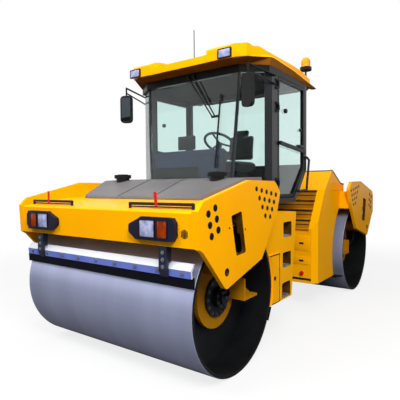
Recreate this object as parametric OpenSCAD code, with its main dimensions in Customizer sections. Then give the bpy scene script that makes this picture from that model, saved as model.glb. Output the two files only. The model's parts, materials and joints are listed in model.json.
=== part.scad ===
// Articulated tandem road roller with two steel drums and a glazed cab.
// Millimetres. +X forward, +Y to the left of the machine, +Z up.
// Origin on the ground under the steering joint, midway between the drum axles.

/* [Drums] */
// outer diameter of both drums
drum_d = 1300; // [1200:10:1400]
// width of both drums
drum_w = 2130; // [2000:10:2200]
// wall of the drum shell
drum_shell = 32; // [20:1:45]
// distance of the drum's inner web from its open end
web_inset = 330; // [300:5:360]
// thickness of the drum's web
web_t = 30; // [20:1:45]
// diameter of the stub axle in the drum's hub
stub_d = 160; // [120:1:190]
// running clearance of the stub axle in the hub, on the radius
stub_clear = 0.06; // [0.02:0.01:0.1]
// distance between the drum axles
wheelbase = 3550; // [3450:10:3700]

/* [Yokes] */
// free space between a drum's end and the side plate beside it
plate_gap = 55; // [40:1:80]
// thickness of the side plates
plate_t = 40; // [25:1:50]
// width of the flange at the front edge of a side plate
flange_w = 75; // [60:1:90]
// free space between a drum and the frame around it
drum_gap = 22; // [12:1:35]
// diameter of the lashing eye in the tip of a side plate
eye_d = 66; // [50:1:80]
// depth of the pocket behind the slot in a side plate
slot_depth = 170; // [100:5:200]
// thickness of the hub carrier plates
carrier_t = 40; // [30:1:60]
// radius of the hub carrier's round lower end
carrier_r = 285; // [260:1:300]
// diameter of the opening around the drive motor
motor_hole_d = 300; // [260:2:330]

/* [Steps] */
// outer face of the step columns, from the middle plane
step_out = 1055; // [1030:5:1065]
// depth of the step columns
step_depth = 250; // [200:5:270]
// depth of each foot opening
foot_depth = 190; // [120:5:195]
// thickness of the service door
door_sheet = 14; // [8:1:20]
// gap around the service door
sheet_gap = 7; // [5:1:10]

/* [Cab] */
// half width of the cab across the doors
cab_half = 885; // [850:5:900]
// thickness of the cab posts
post_t = 60; // [45:1:80]
// thickness of the window panes
glass_t = 8; // [5:1:12]
// height of the windscreen's lower edge above the drum axles
screen_rise = 1066; // [1050:2:1090]
// height of the windscreen
screen_h = 1106; // [1070:2:1130]
// half width of the cab's roof
roof_half = 885; // [860:5:920]
// thickness of a door frame
door_t = 45; // [35:1:55]
// width of a door's frame around its pane
door_rim = 32; // [25:1:50]
// gap around the cab doors
door_gap = 8; // [6:1:12]

/* [Steering joint] */
// diameter of the steering pin
pin_d = 110; // [90:1:130]
// clearance of the steering pin and the oscillation trunnion, on the radius
pin_clear = 0.06; // [0.02:0.01:0.1]
// height of the steering knuckle
knuckle_h = 300; // [260:5:340]
// drop of the knuckle's middle below the drum axles
knuckle_drop = 10; // [0:1:30]
// diameter of the oscillation trunnion
trunnion_d = 190; // [150:1:220]
// distance of the steering cylinders' rod eyes from the joint
rod_arm = 330; // [300:5:350]
// bore of the steering cylinders
cylinder_d = 90; // [70:1:110]

/* [Rear body] */
// half width of the rear body
body_half = 1000; // [970:5:1010]
// height of the ridge in front of the engine hood above the drum axles
ridge_rise = 1175; // [1150:5:1200]
// thickness of the body's walls
body_wall = 30; // [15:1:40]
// thickness of the engine hood's shell
hood_t = 22; // [12:1:30]

/* [Hidden] */
$fn = 64;
eps = 0.5;

// drum axle place
ax = wheelbase / 2;
az = drum_d / 2;
dr = drum_d / 2;
half_w = drum_w / 2;
room_r = dr + drum_gap;
screen_z0 = az + screen_rise;
screen_z1 = screen_z0 + screen_h;
knuckle_z = az - knuckle_drop;
ridge_z = az + ridge_rise;
plate_in = half_w + plate_gap;
plate_out = plate_in + plate_t;
web_y = half_w - web_inset;
carrier_y = web_y + web_t + 40;

// extrude a side profile, given as X and Z, from y0 to y1
module side(y0, y1) {
  translate([0, y1, 0])
    rotate([90, 0, 0])
      linear_extrude(y1 - y0)
        children();
}
// extrude a cross section, given as Y and Z, from x0 to x1
module section(x0, x1) {
  translate([x0, 0, 0])
    rotate([90, 0, 90])
      linear_extrude(x1 - x0)
        children();
}
// extrude a plan, given as X and Y, from z0 to z1
module plan(z0, z1) {
  translate([0, 0, z0])
    linear_extrude(z1 - z0)
      children();
}
// both sides of the middle plane
module both() {
  children();
  mirror([0, 1, 0])
    children();
}
// straight round bar between two points
module rod(p, q, d) {
  v = q - p;
  translate(p)
    rotate([0, acos(v[2] / norm(v)), atan2(v[1], v[0])])
      cylinder(h = norm(v), d = d);
}
// straight flat bar between two points, wide across and thick
module strut(p, q, w, t) {
  v = q - p;
  translate(p)
    rotate([0, acos(v[2] / norm(v)), atan2(v[1], v[0])])
      translate([-t / 2, -w / 2, 0])
        cube([t, w, norm(v)]);
}
// round bar through a list of points, with ball joints at the bends
module tube(pts, d) {
  for (i = [0 : len(pts) - 2])
    rod(pts[i], pts[i + 1], d);
  if (len(pts) > 2)
    for (i = [1 : len(pts) - 2])
      translate(pts[i])
        sphere(d = d * 1.04);
}
// cylinder across the machine
module across(x, z, y0, y1, d) {
  translate([x, y1, z])
    rotate([90, 0, 0])
      cylinder(h = y1 - y0, d = d);
}
// free space around a drum, for cutting the frame
module drum_room() {
  across(ax, az, -half_w - 30, half_w + 30, 2 * room_r);
}
// corner points of a polygon, each rounded with the radius r
function unit(v) = v / norm(v);
function round_corner(a, b, c, r, n) =
  let (u = unit(a - b), w = unit(c - b))
  let (half = acos(u * w) / 2)
  let (m = b + unit(u + w) * r / sin(half))
  let (p = b + u * r / tan(half), q = b + w * r / tan(half))
  let (a0 = atan2(p[1] - m[1], p[0] - m[0]), a1 = atan2(q[1] - m[1], q[0] - m[0]))
  let (d = a1 - a0, turn = d > 180 ? d - 360 : d < -180 ? d + 360 : d)
  [for (i = [0 : n]) m + r * [cos(a0 + turn * i / n), sin(a0 + turn * i / n)]];
function rounded(pts, r, n = 6) =
  [for (i = [0 : len(pts) - 1])
    each round_corner(pts[(i + len(pts) - 1) % len(pts)], pts[i], pts[(i + 1) % len(pts)], r, n)];
module box_round(w, h, r) {
  polygon(rounded([[-w / 2, -h / 2], [w / 2, -h / 2], [w / 2, h / 2], [-w / 2, h / 2]], r));
}

// yoke: side plates and cross beam, drawn for the front end
beam_x = ax + dr + 30;
beam_z0 = az + 530;
beam_z1 = az + 799;
deck_z = az + 856;
plate_top_z = az + 1032;
eye_x = ax + 312;
eye_z = az + 305;

module plate_profile() {
  polygon(concat(
    [[beam_x - 65, az + 874], [beam_x + 8, az + 802], [beam_x - 6, az + 527], [ax + 626, az + 499]],
    round_corner([ax + 626, az + 499], [ax + 326, az + 167], [ax - 273, az + 328], 55, 8),
    [[ax - 273, az + 328], [ax - 341, az + 409], [ax - 581, az + 724]],
    round_corner([ax - 581, az + 724], [ax - 658, az + 919], [ax - 538, plate_top_z - 7], 40, 6),
    round_corner([ax - 658, az + 919], [ax - 538, plate_top_z - 7], [ax - 59, plate_top_z], 60, 6),
    round_corner([ax - 538, plate_top_z - 7], [ax - 59, plate_top_z], [beam_x - 65, az + 874], 200, 8)));
}
module slot_profile() {
  polygon(rounded([[ax + 245, az + 745], [ax + 85, az + 776], [ax + 14, az + 426], [ax + 168, az + 414]], 18, 4));
}
module yoke_plate() {
  difference() {
    union() {
      side(plate_in, plate_out)
        plate_profile();
      side(plate_out - flange_w, plate_in + eps)
        intersection() {
          plate_profile();
          translate([beam_x - 60, beam_z0])
            square([100, beam_z1 - beam_z0 - 12]);
        }
    }
    side(plate_in - eps, plate_out + eps)
      slot_profile();
    across(eye_x, eye_z, plate_in - eps, plate_out + eps, eye_d);
  }
}
module beam_profile() {
  polygon([[beam_x - 4, beam_z0], [beam_x, beam_z1 - 14], [beam_x - 14, beam_z1], [ax + 180, deck_z],
    [ax - 560, deck_z + 30], [ax - 560, az + 640], [ax + 420, beam_z0]]);
}
module yoke_beam() {
  difference() {
    union() {
      side(-plate_out + flange_w, plate_out - flange_w)
        beam_profile();
      side(-plate_in, plate_in)
        polygon([[beam_x - 70, beam_z0 + 20], [beam_x - 70, beam_z1 - 5], [ax + 180, deck_z],
          [ax - 560, deck_z + 30], [ax - 560, az + 640], [ax + 420, beam_z0 + 20]]);
    }
    drum_room();
    both()
      side(plate_in - slot_depth, plate_in + eps)
        slot_profile();
  }
}
// hub carrier: plate with a round end, hung from the tip of the side plate
module carrier() {
  difference() {
    union() {
      side(carrier_y, carrier_y + carrier_t) {
        translate([ax, az])
          circle(r = carrier_r, $fn = 96);
        polygon([[ax - carrier_r * cos(20), az + carrier_r * sin(20)], [ax + carrier_r, az],
          [ax + 255, az + 400], [ax - 60, az + 420]]);
      }
      side(carrier_y + carrier_t - eps, plate_in)
        polygon([[ax - 40, az + 330], [ax + 205, az + 240], [ax + 250, az + 395], [ax - 40, az + 400]]);
      translate([ax - 210, carrier_y + carrier_t - eps, az - 60])
        cube([22, 180, 200]);
      translate([ax - 430, carrier_y + carrier_t - eps, az - 60])
        cube([231, 180, 22]);
      side(carrier_y + carrier_t + 80, carrier_y + carrier_t + 98)
        polygon([[ax - 200, az + 130], [ax - 420, az - 30], [ax - 420, az - 45], [ax - 200, az - 45]]);
    }
    across(ax, az, carrier_y - eps, plate_in, motor_hole_d);
  }
}
module motor() {
  across(ax, az, carrier_y + carrier_t, carrier_y + carrier_t + 22, motor_hole_d + 60);
  across(ax, az, web_y + web_t + 12, carrier_y + carrier_t + eps, motor_hole_d - 1);
  across(ax, az, carrier_y + carrier_t + 21.5, carrier_y + carrier_t + 70, 190);
  across(ax, az, carrier_y + carrier_t + 69.5, carrier_y + carrier_t + 100, 120);
  across(ax, az, web_y - 110, web_y + web_t + 12.5, stub_d);
}
module drum_solid() {
  rotate([90, 0, 0])
    rotate_extrude($fn = 128)
      polygon([
        [dr - drum_shell, -half_w], [dr - 4, -half_w], [dr, -half_w + 4], [dr, half_w - 4],
        [dr - 4, half_w], [dr - drum_shell, half_w], [dr - drum_shell, web_y + web_t],
        [stub_d / 2 + 75, web_y + web_t], [stub_d / 2 + 75, web_y + web_t + 10],
        [stub_d / 2 + stub_clear, web_y + web_t + 10],
        [stub_d / 2 + stub_clear, web_y - 120], [stub_d / 2 + 75, web_y - 120],
        [stub_d / 2 + 75, web_y], [dr - drum_shell, web_y],
        [dr - drum_shell, -web_y], [stub_d / 2 + 75, -web_y], [stub_d / 2 + 75, -web_y + 120],
        [stub_d / 2 + stub_clear, -web_y + 120], [stub_d / 2 + stub_clear, -web_y - web_t - 10],
        [stub_d / 2 + 75, -web_y - web_t - 10], [stub_d / 2 + 75, -web_y - web_t],
        [dr - drum_shell, -web_y - web_t]]);
}

// front scraper: blade bar, rubber lip and two brackets under the beam
scr_x = beam_x - 36;
scr_z1 = az + 405;
scr_z0 = az + 300;
lip_z0 = az + 222;
module scraper_set() {
  side(-half_w + 2, half_w - 2)
    polygon([[scr_x - 44, scr_z1], [scr_x - 30, scr_z1 + 4], [scr_x + 8, scr_z0 + 58], [scr_x + 2, scr_z0],
      [scr_x - 14, scr_z0], [scr_x - 10, scr_z0 + 52]]);
  side(-half_w - 12, half_w + 12)
    polygon([[scr_x - 14, scr_z0 + 10], [scr_x - 14, scr_z0], [scr_x - 4, scr_z0],
      [scr_x - 8, lip_z0], [scr_x - 20, lip_z0], [scr_x - 22, scr_z0 + 10]]);
  both()
    side(770, 850)
      polygon([[scr_x + 8, scr_z1 - 115], [scr_x + 8, scr_z1], [scr_x - 22, scr_z1], [scr_x - 30, beam_z0],
        [scr_x + 30, beam_z0], [scr_x + 34, scr_z1 - 60]]);
}
// step column with foot openings, cut round the drum
step_in = step_out - step_depth;
step_z0 = az - 217;
step_z1 = az + 692;
step_x0 = ax - 1160;
step_lean = 124;
hinge_x = ax - 848;
hinge_y = step_out + 9.3;
sheet_z0 = step_z0 + 8;
sheet_z1 = az + 292;
foot_x0 = ax - 1122;
foot_w = 205;
foot_h = 160;
foot_zs = [step_z0 + 14, step_z0 + 334, step_z0 + 652];
module step_profile() {
  polygon([[step_x0, step_z0], [ax - 560, step_z0], [ax - 560, az + 640], [ax - 581, step_z1],
    [step_x0 - step_lean, step_z1]]);
}
module hinge_lugs(z) {
  for (s = [-1, 1])
    translate([hinge_x, hinge_y, z + s * 40 - 15])
      cylinder(h = 30, d = 18);
  translate([hinge_x, hinge_y, z - 40])
    cylinder(h = 80, d = 8);
  for (s = [-1, 1])
    translate([hinge_x - 9, step_out - 1, z + s * 40 - 15])
      cube([18, 10.3, 30]);
}
module step_column() {
  difference() {
    side(step_in, step_out)
      step_profile();
    drum_room();
    for (z = foot_zs)
      translate([foot_x0 + foot_w / 2 - (z - step_z0) * step_lean / (step_z1 - step_z0) * 0.4, step_out + eps, z + foot_h / 2])
        rotate([90, 0, 0])
          linear_extrude(foot_depth)
            box_round(foot_w, foot_h, 22);
  }
  hinge_lugs(sheet_z0 + 90);
  hinge_lugs(sheet_z1 - 90);
}
module treads() {
  for (z = foot_zs)
    translate([foot_x0 + foot_w / 2 - (z - step_z0) * step_lean / (step_z1 - step_z0) * 0.4, step_out - foot_depth + 1, z])
      translate([-foot_w / 2 + 24, 0, 0.3])
        cube([foot_w - 48, foot_depth - 4, 16]);
}
module service_door() {
  difference() {
    union() {
      side(step_out + 0.3, step_out + 0.3 + door_sheet)
        difference() {
          polygon([[hinge_x + 12, sheet_z0], [ax - 500, sheet_z0], [ax - 500, sheet_z1], [hinge_x + 12, sheet_z1]]);
          translate([ax, az])
            circle(r = room_r + 14, $fn = 128);
        }
      for (z = [sheet_z0 + 90, sheet_z1 - 90]) {
        translate([hinge_x, hinge_y, z - 24.5])
          cylinder(h = 49, d = 18);
        translate([hinge_x, step_out + 0.3, z - 24.5])
          cube([14, door_sheet, 49]);
      }
    }
    for (z = [sheet_z0 + 90, sheet_z1 - 90])
      translate([hinge_x, hinge_y, z - 30])
        cylinder(h = 60, d = 8 + 2 * pin_clear);
  }
}
// cross box behind the front drum, with the steering joint's lugs and cylinders
bridge_x0 = ax - 1215;
lug_t = 45;
lug_gap = 6;
lug_r = 150;
rod_d = 50;
rod_in = ax - 900;
barrel_x = 250;
module bridge() {
  difference() {
    union() {
      side(-step_in, step_in)
        polygon([[bridge_x0, az - 130], [ax - 560, az - 130], [ax - 560, az + 730], [bridge_x0 + 60, az + 730],
          [bridge_x0, az + 500]]);
      for (s = [-1, 1])
        translate([0, 0, knuckle_z + s * (knuckle_h / 2 + lug_gap + lug_t / 2) - lug_t / 2])
          linear_extrude(lug_t) {
            circle(r = lug_r);
            polygon([[0, -lug_r], [bridge_x0 + eps, -lug_r - 120], [bridge_x0 + eps, lug_r + 120], [0, lug_r]]);
          }
      translate([0, 0, knuckle_z - knuckle_h / 2 - lug_gap - lug_t])
        cylinder(h = knuckle_h + 2 * lug_gap + 2 * lug_t + 25, d = pin_d);
      both()
        rod([barrel_x, rod_arm, knuckle_z], [bridge_x0 + eps, rod_arm, knuckle_z], cylinder_d + 30);
    }
    drum_room();
    both()
      rod([barrel_x - 1, rod_arm, knuckle_z], [rod_in, rod_arm, knuckle_z], rod_d + 2 * pin_clear);
  }
}
module steer_rod() {
  rod([40, rod_arm, knuckle_z], [rod_in - 165, rod_arm, knuckle_z], rod_d);
  translate([0, rod_arm, knuckle_z - 30])
    cylinder(h = 60, d = 95);
}
module knuckle_solid() {
  difference() {
    union() {
      translate([0, 0, knuckle_z - knuckle_h / 2])
        cylinder(h = knuckle_h, d = pin_d + 120);
      for (s = [-1, 1])
        translate([0, 0, knuckle_z + s * 46 - 10])
          linear_extrude(20) {
            polygon([[-95, -60], [-55, -rod_arm - 60], [55, -rod_arm - 60], [95, -60], [95, 60],
              [55, rod_arm + 60], [-55, rod_arm + 60], [-95, 60]]);
          }
      both()
        for (s = [-1, 1])
          translate([0, rod_arm, knuckle_z + s * 62 - 6.5])
            cylinder(h = 13, d = 60);
      rod([-60, 0, knuckle_z], [wall_x - 150, 0, knuckle_z], trunnion_d);
      rod([-60, 0, knuckle_z], [wall_x + 30, 0, knuckle_z], trunnion_d + 60);
    }
    translate([0, 0, knuckle_z - knuckle_h / 2 - 1])
      cylinder(h = knuckle_h + 2, d = pin_d + 2 * pin_clear);
  }
}
// water tank hood in front of the cab
hood_x0 = ax + 149;
hood_x1 = ax - 680;
groove_w = 34;
groove_d = 9;
groove_ys = [-240, 240];
module hood_profile() {
  polygon(concat(
    [[hood_x0, deck_z + 2.5]],
    round_corner([hood_x0, deck_z + 2.5], [hood_x0, deck_z + 34], [ax - 310, az + 1055], 24, 5),
    round_corner([hood_x0, deck_z + 34], [ax - 310, az + 1055], [hood_x1, az + 1068], 300, 8),
    [[hood_x1, az + 1068], [hood_x1, deck_z + 45], [ax - 560, deck_z + 45], [ax - 560, deck_z + 30.5]]));
}
module hood_bands() {
  side(-1000, 1000)
    intersection() {
      hood_profile();
      translate([0, -groove_d])
        hood_profile();
    }
  for (i = [0 : 2])
    side(i == 0 ? -1000 : groove_ys[i - 1] + groove_w / 2, i == 2 ? 1000 : groove_ys[i] - groove_w / 2)
      hood_profile();
}
module tank_solid() {
  intersection() {
    hood_bands();
    plan(deck_z - 50, az + 1200)
      polygon(rounded([[hood_x0, -782], [hood_x0, 782], [ax - 300, 960], [hood_x1 - 1, 960], [hood_x1 - 1, -960],
        [ax - 300, -960]], 40));
  }
}
cap_x = ax - 305;
cap_y = 660;
module caps() {
  difference() {
    both()
      translate([cap_x, cap_y, az + 980]) {
        cylinder(h = 95, d = 150);
        translate([0, 0, 94])
          cylinder(h = 42, d = 185);
      }
    side(-1000, 1000)
      hood_profile();
  }
}
// lamp clusters on the beam's front face
module lamps() {
  difference() {
    both()
      section(beam_x - 30, beam_x + 40)
        polygon(rounded([[921, az + 571], [921, az + 752], [619, az + 752], [491, az + 659], [560, az + 571]], 16, 4));
    side(-plate_out, plate_out)
      beam_profile();
  }
}
module rails() {
  difference() {
    both() {
      tube([[beam_x - 95, 1040, az + 780], [beam_x - 95, 1040, az + 845], [beam_x - 80, 390, az + 845],
        [beam_x - 80, 390, az + 780]], 26);
      rod([beam_x - 95, 1040, az + 822], [beam_x - 80, 390, az + 822], 12);
    }
    side(-plate_out, plate_out)
      beam_profile();
  }
}
// cab
floor_z = az + 790;
sill_z = floor_z + 50;
head_z = screen_z1;
b_x = ax - 1110;
c_x = ax - 1867;
c_knee = az + 1200;
sx0 = ax - 700;
sx1 = ax - 757;
sy0 = 577;
sy1 = 647;
corner_x = ax - 915;
post_out = cab_half + post_t / 2;
post_in = cab_half - post_t / 2;
module cab_outline(inset) {
  polygon([[sx0 - inset, -sy0 + inset * 0.4], [sx0 - inset, sy0 - inset * 0.4], [corner_x, cab_half - inset],
    [c_x + inset, cab_half - inset], [c_x + inset, -cab_half + inset], [corner_x, -cab_half + inset]]);
}
module b_post_plan() {
  polygon([[b_x, post_out], [b_x, post_in], [corner_x - 60, post_in - 20], [corner_x + 6, post_in + 5],
    [corner_x - 60, post_out]]);
}
module cab_floor_solid() {
  plan(floor_z, sill_z)
    polygon([[sx0, -sy0], [sx0, sy0], [corner_x, post_out], [ax - 1600, post_out], [ax - 1600, -post_out],
      [corner_x, -post_out]]);
  both()
    for (x = [ax - 740, ax - 1130])
      translate([x, 560, az + 730])
        cylinder(h = floor_z - az - 729.5, d = 130);
  plan(sill_z - eps, screen_z0 - 20)
    difference() {
      polygon([[sx0, -sy0], [sx0, sy0], [corner_x, post_in], [corner_x - 30, post_in], [corner_x - 30, -post_in],
        [corner_x, -post_in]]);
      polygon([[sx0 - 30, -sy0 + 12], [sx0 - 30, sy0 - 12], [corner_x - 32, post_in - 40], [corner_x - 32, -post_in + 40]]);
      both()
        b_post_plan();
    }
  section_wall();
}
// sloping rear wall of the cab below the rear window
module section_wall() {
  side(-post_in, post_in)
    polygon([[ax - 1599, sill_z - eps], [c_x + 2, c_knee - 20], [c_x + 2, c_knee + 40], [c_x - 38, c_knee + 40],
      [c_x - 38, c_knee - 30], [ax - 1640, sill_z - eps]]);
}
roof_low = [[ax - 515, az + 2268], [ax - 600, az + 2282], [ax - 780, az + 2322], [ax - 1020, az + 2332],
  [ax - 1450, az + 2302], [ax - 2240, az + 2222]];
module roof_under() {
  polygon(concat(roof_low, [[ax - 2240, az + 3000], [ax - 515, az + 3000]]));
}
module roof_side() {
  polygon(concat(roof_low, [[ax - 2240, az + 2312], [ax - 1900, az + 2375], [ax - 1300, az + 2430],
    [ax - 850, az + 2425], [ax - 640, az + 2390], [ax - 515, az + 2345]]));
}
module roof_plan() {
  polygon(rounded([[ax - 515, -roof_half + 265], [ax - 515, roof_half - 265], [ax - 640, roof_half - 85],
    [ax - 900, roof_half], [ax - 2130, roof_half], [ax - 2240, roof_half - 95], [ax - 2240, -roof_half + 95],
    [ax - 2130, -roof_half], [ax - 900, -roof_half], [ax - 640, -roof_half + 85]], 60));
}
module roof_solid() {
  intersection() {
    side(-1000, 1000)
      roof_side();
    plan(az + 2200, az + 2600)
      roof_plan();
    section(ax - 2300, ax - 500)
      polygon(concat(
        [[-roof_half - 10, az + 2200], [roof_half + 10, az + 2200]],
        round_corner([roof_half + 10, az + 2200], [roof_half + 10, az + 2425], [0, az + 2445], 80, 6),
        round_corner([0, az + 2445], [-roof_half - 10, az + 2425], [-roof_half - 10, az + 2200], 80, 6)));
  }
  both()
    intersection() {
      side(roof_half - 545, roof_half - 85)
        polygon([[ax - 505, az + 2266], [ax - 505, az + 2378], [ax - 560, az + 2413], [ax - 700, az + 2430],
          [ax - 900, az + 2415], [ax - 780, az + 2326]]);
      plan(az + 2200, az + 2600)
        polygon([[ax - 500, roof_half - 485], [ax - 500, roof_half - 245], [ax - 640, roof_half - 85],
          [ax - 900, roof_half - 85], [ax - 900, roof_half - 545], [ax - 600, roof_half - 545]]);
    }
}
module frame_solid() {
  both() {
    plan(sill_z, head_z + 20)
      b_post_plan();
    strut([sx0 - 22, sy0 - 4, screen_z0 - 18], [sx1 - 12, sy1 - 4, head_z + 20], 34, 34);
    side(post_in, post_out)
      polygon([[c_x, head_z + 20], [c_x, c_knee], [ax - 1600 + 45, sill_z], [ax - 1600 - 42, sill_z], [c_x - 62, c_knee - 25],
        [c_x - 62, head_z + 20]]);
  }
  difference() {
    plan(head_z, az + 2400)
      difference() {
        polygon([[sx1 + 30, -sy1 - 10], [sx1 + 30, sy1 + 10], [corner_x, post_out], [c_x - 62, post_out], [c_x - 62, -post_out],
          [corner_x, -post_out]]);
        polygon([[sx1 - 40, -sy1 + 20], [sx1 - 40, sy1 - 20], [corner_x - 10, post_in], [c_x, post_in], [c_x, -post_in],
          [corner_x - 10, -post_in]]);
      }
    side(-1000, 1000)
      roof_under();
  }
}
module glass_solid() {
  difference() {
    panes();
    frame_solid();
  }
}
module panes() {
  rotate_lean = atan((sx0 - sx1) / (screen_z1 - screen_z0));
  translate([sx0, 0, screen_z0])
    rotate([0, -rotate_lean, 0])
      section(-glass_t, 0)
        polygon([[-sy0 + 16, 2], [sy0 - 16, 2], [sy1 - 16, (screen_z1 - screen_z0) / cos(rotate_lean) - 2],
          [-sy1 + 16, (screen_z1 - screen_z0) / cos(rotate_lean) - 2]]);
  both()
    hull() {
      for (p = [[sx0 - 6, sy0 + 16, screen_z0], [sx1 - 6, sy1 + 16, head_z - 2], [corner_x + 4, post_in + 4, screen_z0], [corner_x + 4, post_in + 4, head_z - 2]])
        translate(p)
          cylinder(h = 1.5, d = glass_t, $fn = 12);
    }
  section(c_x - 30, c_x - 30 + glass_t)
    polygon(rounded([[-post_in, c_knee + 40], [post_in, c_knee + 40], [post_in, head_z], [-post_in, head_z]], 10, 3));
}
// cab door, hinged at its front edge
dh_x = b_x + 10;
dh_y = post_out + 13;
door_z0 = sill_z + 10;
module door_outline(i) {
  polygon([[b_x - door_gap - i, door_z0 + i], [b_x - door_gap - i, head_z - 4 - i], [c_x + door_gap + i, head_z - 4 - i],
    [c_x + door_gap + i, c_knee + i * 0.4], [ax - 1600 + 70 + i * 0.55, door_z0 + i]]);
}
hinge_zs = [az + 1010, az + 1830, az + 2080];
module door_frame() {
  difference() {
    union() {
      side(post_out - door_t, post_out)
        difference() {
          door_outline(0);
          door_outline(door_rim);
        }
      for (z = hinge_zs) {
        translate([dh_x, dh_y, z - 30])
          cylinder(h = 60, d = 24);
        translate([dh_x - 44, post_out - 2, z - 27])
          cube([30, 13, 54]);
        translate([dh_x - 24, post_out + 1, z - 28])
          cube([20, 11, 56]);
      }
      strut([b_x - 26, post_out + 16, az + 1450], [c_x + 26, post_out + 16, az + 1390], 24, 40);
      strut([b_x - 24, post_out - 10, az + 1450], [b_x - 24, post_out + 20, az + 1450], 26, 26);
      strut([c_x + 24, post_out - 10, az + 1390], [c_x + 24, post_out + 20, az + 1390], 26, 26);
    }
    for (z = hinge_zs)
      translate([dh_x, dh_y, z - 31])
        cylinder(h = 62, d = 12 + 2 * pin_clear);
  }
}
module door_pins() {
  for (z = hinge_zs) {
    translate([dh_x, dh_y, z - 56])
      cylinder(h = 112, d = 12);
    for (s = [-1, 1]) {
      translate([dh_x, dh_y, z + s * 43 - 12])
        cylinder(h = 24, d = 24);
      translate([dh_x, post_out - 2, z + s * 43 - 12])
        cube([40, 15, 24]);
    }
  }
}
module door_pane() {
  side(post_out - door_t / 2 - glass_t / 2, post_out - door_t / 2 + glass_t / 2)
    door_outline(door_rim);
}
seat_y = 240;
module seat_lower() {
  translate([ax - 1460, seat_y - 190, sill_z])
    cube([380, 380, 60]);
  translate([ax - 1410, seat_y - 140, sill_z + 59])
    cube([280, 280, 251]);
}
module seat_soft() {
  translate([ax - 1500, seat_y - 240, sill_z + 310])
    cube([500, 480, 120]);
  side(seat_y - 220, seat_y + 220)
    polygon([[ax - 1505, sill_z + 430], [ax - 1390, sill_z + 430], [ax - 1470, sill_z + 860], [ax - 1565, sill_z + 860]]);
}
module console_solid() {
  side(seat_y - 130, seat_y + 130)
    polygon([[ax - 745, sill_z], [ax - 745, sill_z + 420], [ax - 800, sill_z + 470], [ax - 920, sill_z + 450],
      [ax - 880, sill_z]]);
  side(-560, seat_y + 180)
    polygon([[ax - 745, sill_z + 360], [ax - 745, sill_z + 480], [ax - 790, sill_z + 555], [ax - 930, sill_z + 500],
      [ax - 900, sill_z + 440]]);
  rod([ax - 880, seat_y, sill_z + 400], [ax - 985, seat_y, sill_z + 635], 70);
  translate([ax - 985, seat_y, sill_z + 635])
    rotate([0, -35, 0])
      rotate_extrude()
        translate([180, 0])
          circle(d = 30);
  for (a = [0, 120, 240])
    translate([ax - 985, seat_y, sill_z + 635])
      rotate([0, -35, 0])
        rotate([0, 0, a])
          rod([0, 0, 0], [180, 0, 0], 22);
}
mir_turn = 20;
mir_x = ax - 590;
mir_y = 855;
mir_z = az + 1930;
module mirror_set() {
  both() {
    translate([mir_x + 22, mir_y, mir_z])
      rotate([0, 0, -mir_turn])
        translate([-22, 0, 0])
          rotate([90, 0, 90])
            linear_extrude(45)
              box_round(150, 330, 45);
    tube([[corner_x - 90, post_out, az + 2150], [corner_x - 90, post_out + 20, az + 2150], [mir_x + 22, mir_y, az + 2190],
      [mir_x + 22, mir_y, mir_z + 150]], 20);
    tube([[corner_x - 90, post_out, az + 2060], [corner_x - 90, post_out + 20, az + 2060], [mir_x + 22, mir_y, az + 2130]], 16);
  }
}
module wiper_solid() {
  for (y = [0, 75]) {
    rod([sx1 + 30, y, az + 2215], [sx1 + 62, y, az + 2215], 34);
    rod([sx1 + 50, y, az + 2215], [ax - 706, 330 + y * 0.5, az + 1735], 15);
  }
  rod([ax - 706, 322, az + 1735], [ax - 714, 416, az + 1740], 26);
  rod([ax - 730, 427, az + 1975], [ax - 688, 373, az + 1177], 20);
}
lamp_y = roof_half - 258;
module fittings() {
  both()
    section(ax - 505, ax - 488)
      polygon(rounded([[lamp_y - 82, az + 2264], [lamp_y - 82, az + 2364], [lamp_y + 82, az + 2364],
        [lamp_y + 82, az + 2264]], 12, 3));
  rod([ax - 1000, -130, az + 2426.8], [ax - 1000, -130, az + 2860], 10);
}
bea_x = ax - 2190;
bea_y = roof_half - 85;
module beacon_solid() {
  rod([bea_x, bea_y, az + 2323.8], [bea_x, bea_y, az + 2480], 24);
  translate([bea_x, bea_y, az + 2479])
    cylinder(h = 40, d = 150);
  translate([bea_x, bea_y, az + 2518]) {
    cylinder(h = 70, d = 120);
    translate([0, 0, 70])
      sphere(d = 119);
  }
}
rail_y = 935;
module rail_solid() {
  both()
    tube([[c_x - 30, post_out, az + 1325], [c_x - 30, rail_y, az + 1325], [c_x - 98, rail_y, az + 1295],
      [c_x - 20, rail_y, az + 925], [c_x + 225, rail_y, az + 915], [c_x + 225, post_out, az + 915]], 28);
}
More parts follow.
